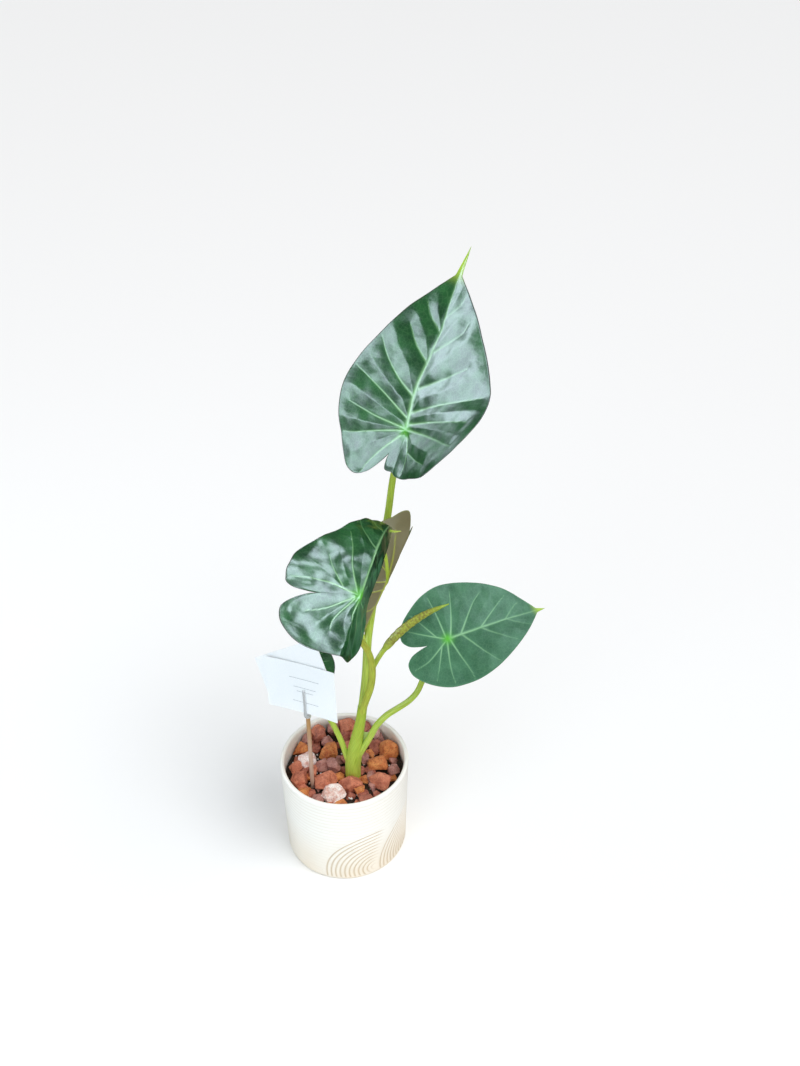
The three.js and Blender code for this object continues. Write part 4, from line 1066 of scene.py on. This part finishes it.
def waxy_leaf(name, upper, light, vein, below, below_vein, rim, roughness, coat):
    """A living leaf with a waxy skin: its upper side green, with paler clouds, a fine net of
    veins and a broad soft sheen; its underside in another colour, with pale raised veins. Its
    patterns lie on places in mm: clouds of 20, a net of 3.6, and puckers of 7 by 18."""
    material, tree, shader = new_surface(
        f"waxy_leaf_{name}", roughness, 1.45, Coat_Weight=coat, Coat_Roughness=0.27, Coat_IOR=1.6)
    place = add_node(tree, "ShaderNodeAttribute", attribute_name="flat_place")
    tissue = add_node(tree, "ShaderNodeAttribute", attribute_name="tissue")
    sides = add_node(tree, "ShaderNodeAttribute", attribute_name="side")
    near = add_node(tree, "ShaderNodeSeparateXYZ", links={0: tissue.outputs["Vector"]})
    face = add_node(tree, "ShaderNodeSeparateXYZ", links={0: sides.outputs["Vector"]})
    cloud = add_node(tree, "ShaderNodeTexNoise", {"Scale": 1 / 20, "Detail": 3.0},
                     {"Vector": place.outputs["Vector"]})
    patch = add_node(tree, "ShaderNodeMapRange", {"From Min": 0.35, "From Max": 0.8},
                     {"Value": cloud.outputs["Fac"]})
    green = add_node(tree, "ShaderNodeMix", {6: linear(upper), 7: linear(light)},
                     {0: patch.outputs[0]}, data_type="RGBA")
    net = add_node(tree, "ShaderNodeTexVoronoi", {"Scale": 1 / 3.57},
                   {"Vector": place.outputs["Vector"]}, feature="DISTANCE_TO_EDGE")
    thread = add_node(tree, "ShaderNodeMapRange",
                      {"From Min": 0.0, "From Max": 0.09, "To Min": 0.1, "To Max": 0.0},
                      {"Value": net.outputs["Distance"]})
    netted = add_node(tree, "ShaderNodeMix", {7: linear(vein)},
                      {0: thread.outputs[0], 6: green.outputs[2]}, data_type="RGBA")
    glow = add_node(tree, "ShaderNodeMath", {1: 0.3}, {0: near.outputs["Y"]}, operation="MULTIPLY")
    haloed = add_node(tree, "ShaderNodeMix", {7: linear(light)},
                      {0: glow.outputs[0], 6: netted.outputs[2]}, data_type="RGBA")
    veined = add_node(tree, "ShaderNodeMix", {7: linear(vein)},
                      {0: near.outputs["X"], 6: haloed.outputs[2]}, data_type="RGBA")
    hubbed = add_node(tree, "ShaderNodeMix", {7: linear("#57b52c")},
                      {0: near.outputs["Z"], 6: veined.outputs[2]}, data_type="RGBA")
    matt = add_node(tree, "ShaderNodeMix", {6: linear(below), 7: linear(below_vein)},
                    {0: near.outputs["X"]}, data_type="RGBA")
    turned_over = add_node(tree, "ShaderNodeMix",
                           links={0: face.outputs["X"], 6: hubbed.outputs[2], 7: matt.outputs[2]},
                           data_type="RGBA")
    rimmed = add_node(tree, "ShaderNodeMix", {7: linear(rim)},
                      {0: face.outputs["Y"], 6: turned_over.outputs[2]}, data_type="RGBA")
    tipped = add_node(tree, "ShaderNodeMix", {7: linear("#a9cb3f")},
                      {0: face.outputs["Z"], 6: rimmed.outputs[2]}, data_type="RGBA")
    tree.links.new(tipped.outputs[2], shader.inputs["Base Color"])
    drawn = add_node(tree, "ShaderNodeVectorMath", {1: (0.55, 1.5, 1.0)},
                     {0: place.outputs["Vector"]}, operation="MULTIPLY")
    crinkle = add_node(tree, "ShaderNodeTexNoise", {"Scale": 1 / 10, "Detail": 1.0, "Distortion": 0.3},
                       {"Vector": drawn.outputs[0]})
    sunk = add_node(tree, "ShaderNodeMapRange", {"From Min": 0.0, "From Max": 0.25},
                    {"Value": net.outputs["Distance"]})
    relief = add_node(tree, "ShaderNodeMath", {1: 0.08},
                      {0: sunk.outputs[0], 2: crinkle.outputs["Fac"]}, operation="MULTIPLY_ADD")
    bump = add_node(tree, "ShaderNodeBump", {"Strength": 0.4, "Distance": 0.0005},
                    {"Height": relief.outputs[0]})
    tree.links.new(bump.outputs[0], shader.inputs["Normal"])
    tree.links.new(bump.outputs[0], shader.inputs["Coat Normal"])
    return material


# Grown leaves are deep green and shine. The low one has a dull satin bloom, and the hanging one
# shows its brown underside.
dark_leaf = waxy_leaf("dark", upper="#0f3f1f", light="#2a6e34", vein="#93c98c", below="#6f6a43",
                      below_vein="#a4b552", rim="#2b3a1c", roughness=0.3, coat=1.0)
satin_leaf = waxy_leaf("satin", upper="#2c6141", light="#4b825f", vein="#8cc28f", below="#5c7a45",
                       below_vein="#a4b552", rim="#4f8660", roughness=0.55, coat=0.06)
brown_leaf = waxy_leaf("brown", upper="#1d4a29", light="#2f6a3a", vein="#9fcb8f", below="#7b7350",
                       below_vein="#b4bd3f", rim="#8b9150", roughness=0.45, coat=0.2)
for leaf_name, finish, slot in (
        ("leaf_1", dark_leaf, "dark_leaf"), ("leaf_2", dark_leaf, "dark_leaf"),
        ("leaf_3", satin_leaf, "satin_leaf"), ("leaf_4", dark_leaf, "dark_leaf"),
        ("leaf_5", brown_leaf, "brown_leaf")):
    blade_piece(leaf_name, LEAVES[leaf_name], finish, slot)

# The tip of the second leaf bends forward in a soft thread of [x, y, z, radius], bright where it
# is newest.
fresh_tip = petiole_tissue("fresh_tip", "#6fae2f", "#cfe06a", "#a9cb3f")
LEAF_2_TIP = [
    [45.5, -16, 426, 1.5], [50.5, -3, 415.5, 1.4], [56, 6, 408.5, 1.0], [61.6, 12, 405, 0.35],
]
grown_piece("leaf_2_drip_tip", LEAF_2_TIP, stalk_section, fresh_tip, "green_stem", [])

# ------------------------------------------------------------------ stake
# A thin bamboo stick pushed into the soil. It was split and turned round by machine, so its
# fibres run straight up it and its top is cut square.

STAKE_X, STAKE_Y, STAKE_TOP, STAKE_FOOT = -33.7, -23.3, 213.0, 35.3
STAKE_RADIUS = 2.2
FIBRE_WIDTH, FIBRE_LENGTH = 0.526, 38.5
PALE_FOOT_HEIGHTS = (150, 190)  # between which the paler, greyer foot ends


def turned_bamboo():
    """Dry bamboo, split and turned: warm tan and silky, with darker fibres that run lengthwise,
    paler and greyer pink toward its foot. The fibres are drawn coarse enough to show."""
    material, tree, shader = new_surface("turned_bamboo", 0.42, 1.5)
    place = add_node(tree, "ShaderNodeTexCoord")
    across, along = scale_for(FIBRE_WIDTH), scale_for(FIBRE_LENGTH)
    drawn = add_node(tree, "ShaderNodeVectorMath", {1: (across, across, along)},
                     {0: place.outputs["Object"]}, operation="MULTIPLY")
    fibre = add_node(tree, "ShaderNodeTexNoise", {"Scale": 1.0, "Detail": 3.0},
                     {"Vector": drawn.outputs[0]})
    tone = add_node(tree, "ShaderNodeMix", {6: linear("#8f6238"), 7: linear("#d3a871")},
                    {0: fibre.outputs["Fac"]}, data_type="RGBA")
    height = add_node(tree, "ShaderNodeSeparateXYZ", links={0: place.outputs["Object"]})
    low, high = PALE_FOOT_HEIGHTS
    # Paler and greyer toward the foot of the stick.
    toward_foot = add_node(tree, "ShaderNodeMapRange",
                    {"From Min": low * MM, "From Max": high * MM, "To Min": 0.75, "To Max": 0.0},
                    {"Value": height.outputs["Z"]})
    pale_footed = add_node(tree, "ShaderNodeMix", {7: linear("#c3a79a")},
                        {0: toward_foot.outputs[0], 6: tone.outputs[2]}, data_type="RGBA")
    tree.links.new(pale_footed.outputs[2], shader.inputs["Base Color"])
    bump = add_node(tree, "ShaderNodeBump", {"Strength": 0.35, "Distance": 0.0003},
                    {"Height": fibre.outputs["Fac"]})
    tree.links.new(bump.outputs[0], shader.inputs["Normal"])
    return material


def stick_section(around, share):
    """Nearly round, with a few flats left from the splitting and its ends eased."""
    ends = 1 - 0.12 * smoothstep(0.994, 1, share)
    return ends * (1 - 0.025 * np.cos(5 * around + 9 * share) - 0.02 * np.sin(31 * share))


stick = [[STAKE_X, STAKE_Y, z, STAKE_RADIUS] for z in np.linspace(STAKE_FOOT, STAKE_TOP, 12)]
stick_points, stick_faces, _ = grown_tube(stick, stick_section, steps=10, sides=24)
new_piece("bamboo_stick", stick_points, stick_faces, turned_bamboo(), "bamboo", ["stake"])

# ------------------------------------------------------------------ cards
# Two stiff cards, cut square from smooth white board. They are bare but for thin ruled lines,
# bend a little, and stand one before the other in the clip.

CARD_WIDTH, CARD_HEIGHT, CARD_THICKNESS = 92.0, 53.0, 0.6


def unit(vector):
    return np.array(vector) / np.linalg.norm(vector)


CARD_RIGHT = unit((0.806, -0.547, 0.228))
CARD_FACE = unit(np.cross(CARD_RIGHT, (-0.051, 0.32, 0.945)))
CARD_UP = np.cross(CARD_FACE, CARD_RIGHT)
CARD_ORIGIN = np.array([STAKE_X, STAKE_Y, 225]) + 2.5 * CARD_FACE
CARD_TWIST = 0.35  # of a card's bend


def on_cards(right, up, front):
    """Places given on the cards' leaning plane."""
    return (CARD_ORIGIN + np.multiply.outer(right, CARD_RIGHT) + np.multiply.outer(up, CARD_UP)
            + np.multiply.outer(front, CARD_FACE))


def bent_sheet(width, height, thickness, middle, tilt, bend, columns=48, rows=16, at=(0, 0)):
    """A thin closed sheet on the cards' plane, bent forward at its sides."""
    x, y = np.meshgrid(np.linspace(-0.5, 0.5, columns + 1), np.linspace(-0.5, 0.5, rows + 1))
    across, rise = x * width + at[0], y * height + at[1]
    bow = bend * (2 * across / CARD_WIDTH) ** 2
    bow += CARD_TWIST * bend * (rise / CARD_HEIGHT) * (across / CARD_WIDTH)
    angle = math.radians(tilt)
    right = middle[0] + across * math.cos(angle) - rise * math.sin(angle)
    up = middle[1] + across * math.sin(angle) + rise * math.cos(angle)
    front = on_cards(right, up, middle[2] + bow + thickness / 2).reshape(-1, 3)
    back = on_cards(right, up, middle[2] + bow - thickness / 2).reshape(-1, 3)
    return np.vstack([front, back]), sheet_faces(rows + 1, columns + 1)


def smooth_board():
    """Smooth white board: matt, cool white, with the faintest fibre grain."""
    material, tree, shader = new_surface("smooth_white_board", 0.55, 1.5, Subsurface_Weight=0.05)
    place = add_node(tree, "ShaderNodeTexCoord")
    fibre = add_node(tree, "ShaderNodeTexNoise", {"Scale": scale_for(1.429), "Detail": 4.0},
                     {"Vector": place.outputs["Object"]})
    tone = add_node(tree, "ShaderNodeMix", {6: linear("#eef3f6"), 7: linear("#fbfdfe")},
                    {0: fibre.outputs["Fac"]}, data_type="RGBA")
    tree.links.new(tone.outputs[2], shader.inputs["Base Color"])
    bump = add_node(tree, "ShaderNodeBump", {"Strength": 0.08, "Distance": 0.0002},
                    {"Height": fibre.outputs["Fac"]})
    tree.links.new(bump.outputs[0], shader.inputs["Normal"])
    return material


def printed_grey():
    """Grey ink on board: thin, matt and slightly broken by the fibres."""
    material, tree, shader = new_surface("printed_grey_ink", 0.6, 1.5)
    place = add_node(tree, "ShaderNodeTexCoord")
    grain = add_node(tree, "ShaderNodeTexNoise", {"Scale": scale_for(0.625)},
                     {"Vector": place.outputs["Object"]})
    tone = add_node(tree, "ShaderNodeMix", {6: linear("#8a9299"), 7: linear("#c3c9ce")},
                    {0: grain.outputs["Fac"]}, data_type="RGBA")
    tree.links.new(tone.outputs[2], shader.inputs["Base Color"])
    return material


board = smooth_board()
FRONT_MIDDLE, FRONT_BEND = (-3, 12.3, 0), 2.2
BACK_MIDDLE, BACK_TILT, BACK_BEND = (-14, 26.5, -1.4), 23, 1
for card, middle, tilt, bend in (("front", FRONT_MIDDLE, 0, FRONT_BEND),
                                 ("back", BACK_MIDDLE, BACK_TILT, BACK_BEND)):
    sheet = bent_sheet(CARD_WIDTH, CARD_HEIGHT, CARD_THICKNESS, middle, tilt, bend)
    new_piece(f"{card}_card", *sheet, board, "card", [f"card_{card}"], smooth=False)

# Ruled lines as [middle across, height, length] from the front card's middle.
RULES = [(4, 10, 40), (4, 0.5, 30), (4, -4, 22), (4, -15, 34)]
RULE_WIDTH = 0.45
INK_THICKNESS, INK_LIFT = 0.04, 0.02
INK_LEVEL = CARD_THICKNESS / 2 + INK_THICKNESS / 2 + INK_LIFT
rules = [bent_sheet(length, RULE_WIDTH, INK_THICKNESS, (*FRONT_MIDDLE[:2], INK_LEVEL), 0, FRONT_BEND,
                    columns=24, rows=1, at=(across, rise)) for across, rise, length in RULES]
new_piece("ruled_lines", *joined(rules), printed_grey(), "card", smooth=False)

# ------------------------------------------------------------------ clip
# A small clear plastic clip, moulded in one piece: a sleeve pushed over the stick's top, and two
# springy prongs that hold the cards between them.

PRONG_WIDTH, PRONG_THICKNESS = 3.4, 0.8
FRONT_PRONG = [(-20, -6), (-19.5, -1), (-17.5, 1.3), (-12, 1.3), (0, 1.1), (11, 1.9)]
BACK_PRONG = [(-14, -6.5), (-9, -3.2), (0, -2.5), (8, -2.9)]
PRONG_SIDES = 20
SLEEVE_OUTSIDE, SLEEVE_BORE, SLEEVE_DEPTH = 3.4, 2.45, 12.0
SLEEVE_SIDES = 32


def moulded_clear_plastic():
    """Clear hard acrylic, moulded: smooth, slightly milky, with bright edges and flow marks."""
    material, tree, shader = new_surface("moulded_clear_plastic", 0.12, 1.49, Transmission_Weight=0.45)
    place = add_node(tree, "ShaderNodeTexCoord")
    flow = add_node(tree, "ShaderNodeTexNoise", {"Scale": scale_for(3.85), "Detail": 2.0},
                    {"Vector": place.outputs["Object"]})
    tone = add_node(tree, "ShaderNodeMix", {6: linear("#cfd3d5"), 7: linear("#fbfcfc")},
                    {0: flow.outputs["Fac"]}, data_type="RGBA")
    tree.links.new(tone.outputs[2], shader.inputs["Base Color"])
    bump = add_node(tree, "ShaderNodeBump", {"Strength": 0.2, "Distance": 0.0003},
                    {"Height": flow.outputs["Fac"]})
    tree.links.new(bump.outputs[0], shader.inputs["Normal"])
    return material


def prong(route):
    """A springy strip with rounded edges along a route of [up, front]."""
    line = through([(0, up, front) for up, front in route], 8)
    tangents = np.gradient(line, axis=0)
    tangents /= np.linalg.norm(tangents, axis=1, keepdims=True)
    around = np.linspace(0, 2 * np.pi, PRONG_SIDES, endpoint=False)
    flat_side = np.sign(np.cos(around)) * np.abs(np.cos(around)) ** 0.35
    thick_side = np.sign(np.sin(around)) * np.abs(np.sin(around)) ** 0.6
    points = []
    for i, (place, tangent) in enumerate(zip(line, tangents)):
        normal = np.cross((1.0, 0, 0), tangent)
        taper = 0.55 + 0.45 * math.sin(min(1, min(i, len(line) - 1 - i) / 5) * math.pi / 2)
        ring = (place + np.outer(flat_side * PRONG_WIDTH / 2 * taper, (1.0, 0, 0))
                + np.outer(thick_side * PRONG_THICKNESS / 2, normal))
        points.append(on_cards(ring[:, 0], ring[:, 1], ring[:, 2]))
    last = (len(line) - 1) * PRONG_SIDES
    ends = [tuple(range(PRONG_SIDES - 1, -1, -1)), tuple(range(last, last + PRONG_SIDES))]
    return np.vstack(points), wrapped_grid(len(line), PRONG_SIDES) + ends


def sleeve():
    """A closed cap over the stick's top, with rounded shoulders."""
    foot = STAKE_TOP - SLEEVE_DEPTH
    profile = [
        (SLEEVE_BORE, foot), (SLEEVE_OUTSIDE - 0.3, foot), (SLEEVE_OUTSIDE, foot + 0.4),
        (SLEEVE_OUTSIDE, STAKE_TOP + 0.9), (SLEEVE_OUTSIDE - 0.6, STAKE_TOP + 1.5),
        (0.05, STAKE_TOP + 1.5), (0.05, STAKE_TOP + 0.4), (SLEEVE_BORE, STAKE_TOP + 0.4),
        (SLEEVE_BORE, foot)]
    turns = np.linspace(0, 2 * np.pi, SLEEVE_SIDES, endpoint=False)
    points = np.array([[STAKE_X + r * math.cos(a), STAKE_Y + r * math.sin(a), z]
                       for r, z in profile for a in turns])
    return points, wrapped_grid(len(profile), SLEEVE_SIDES)


new_piece("card_clip", *joined([sleeve(), prong(FRONT_PRONG), prong(BACK_PRONG)]),
          moulded_clear_plastic(), "clear_plastic", ["clip"])
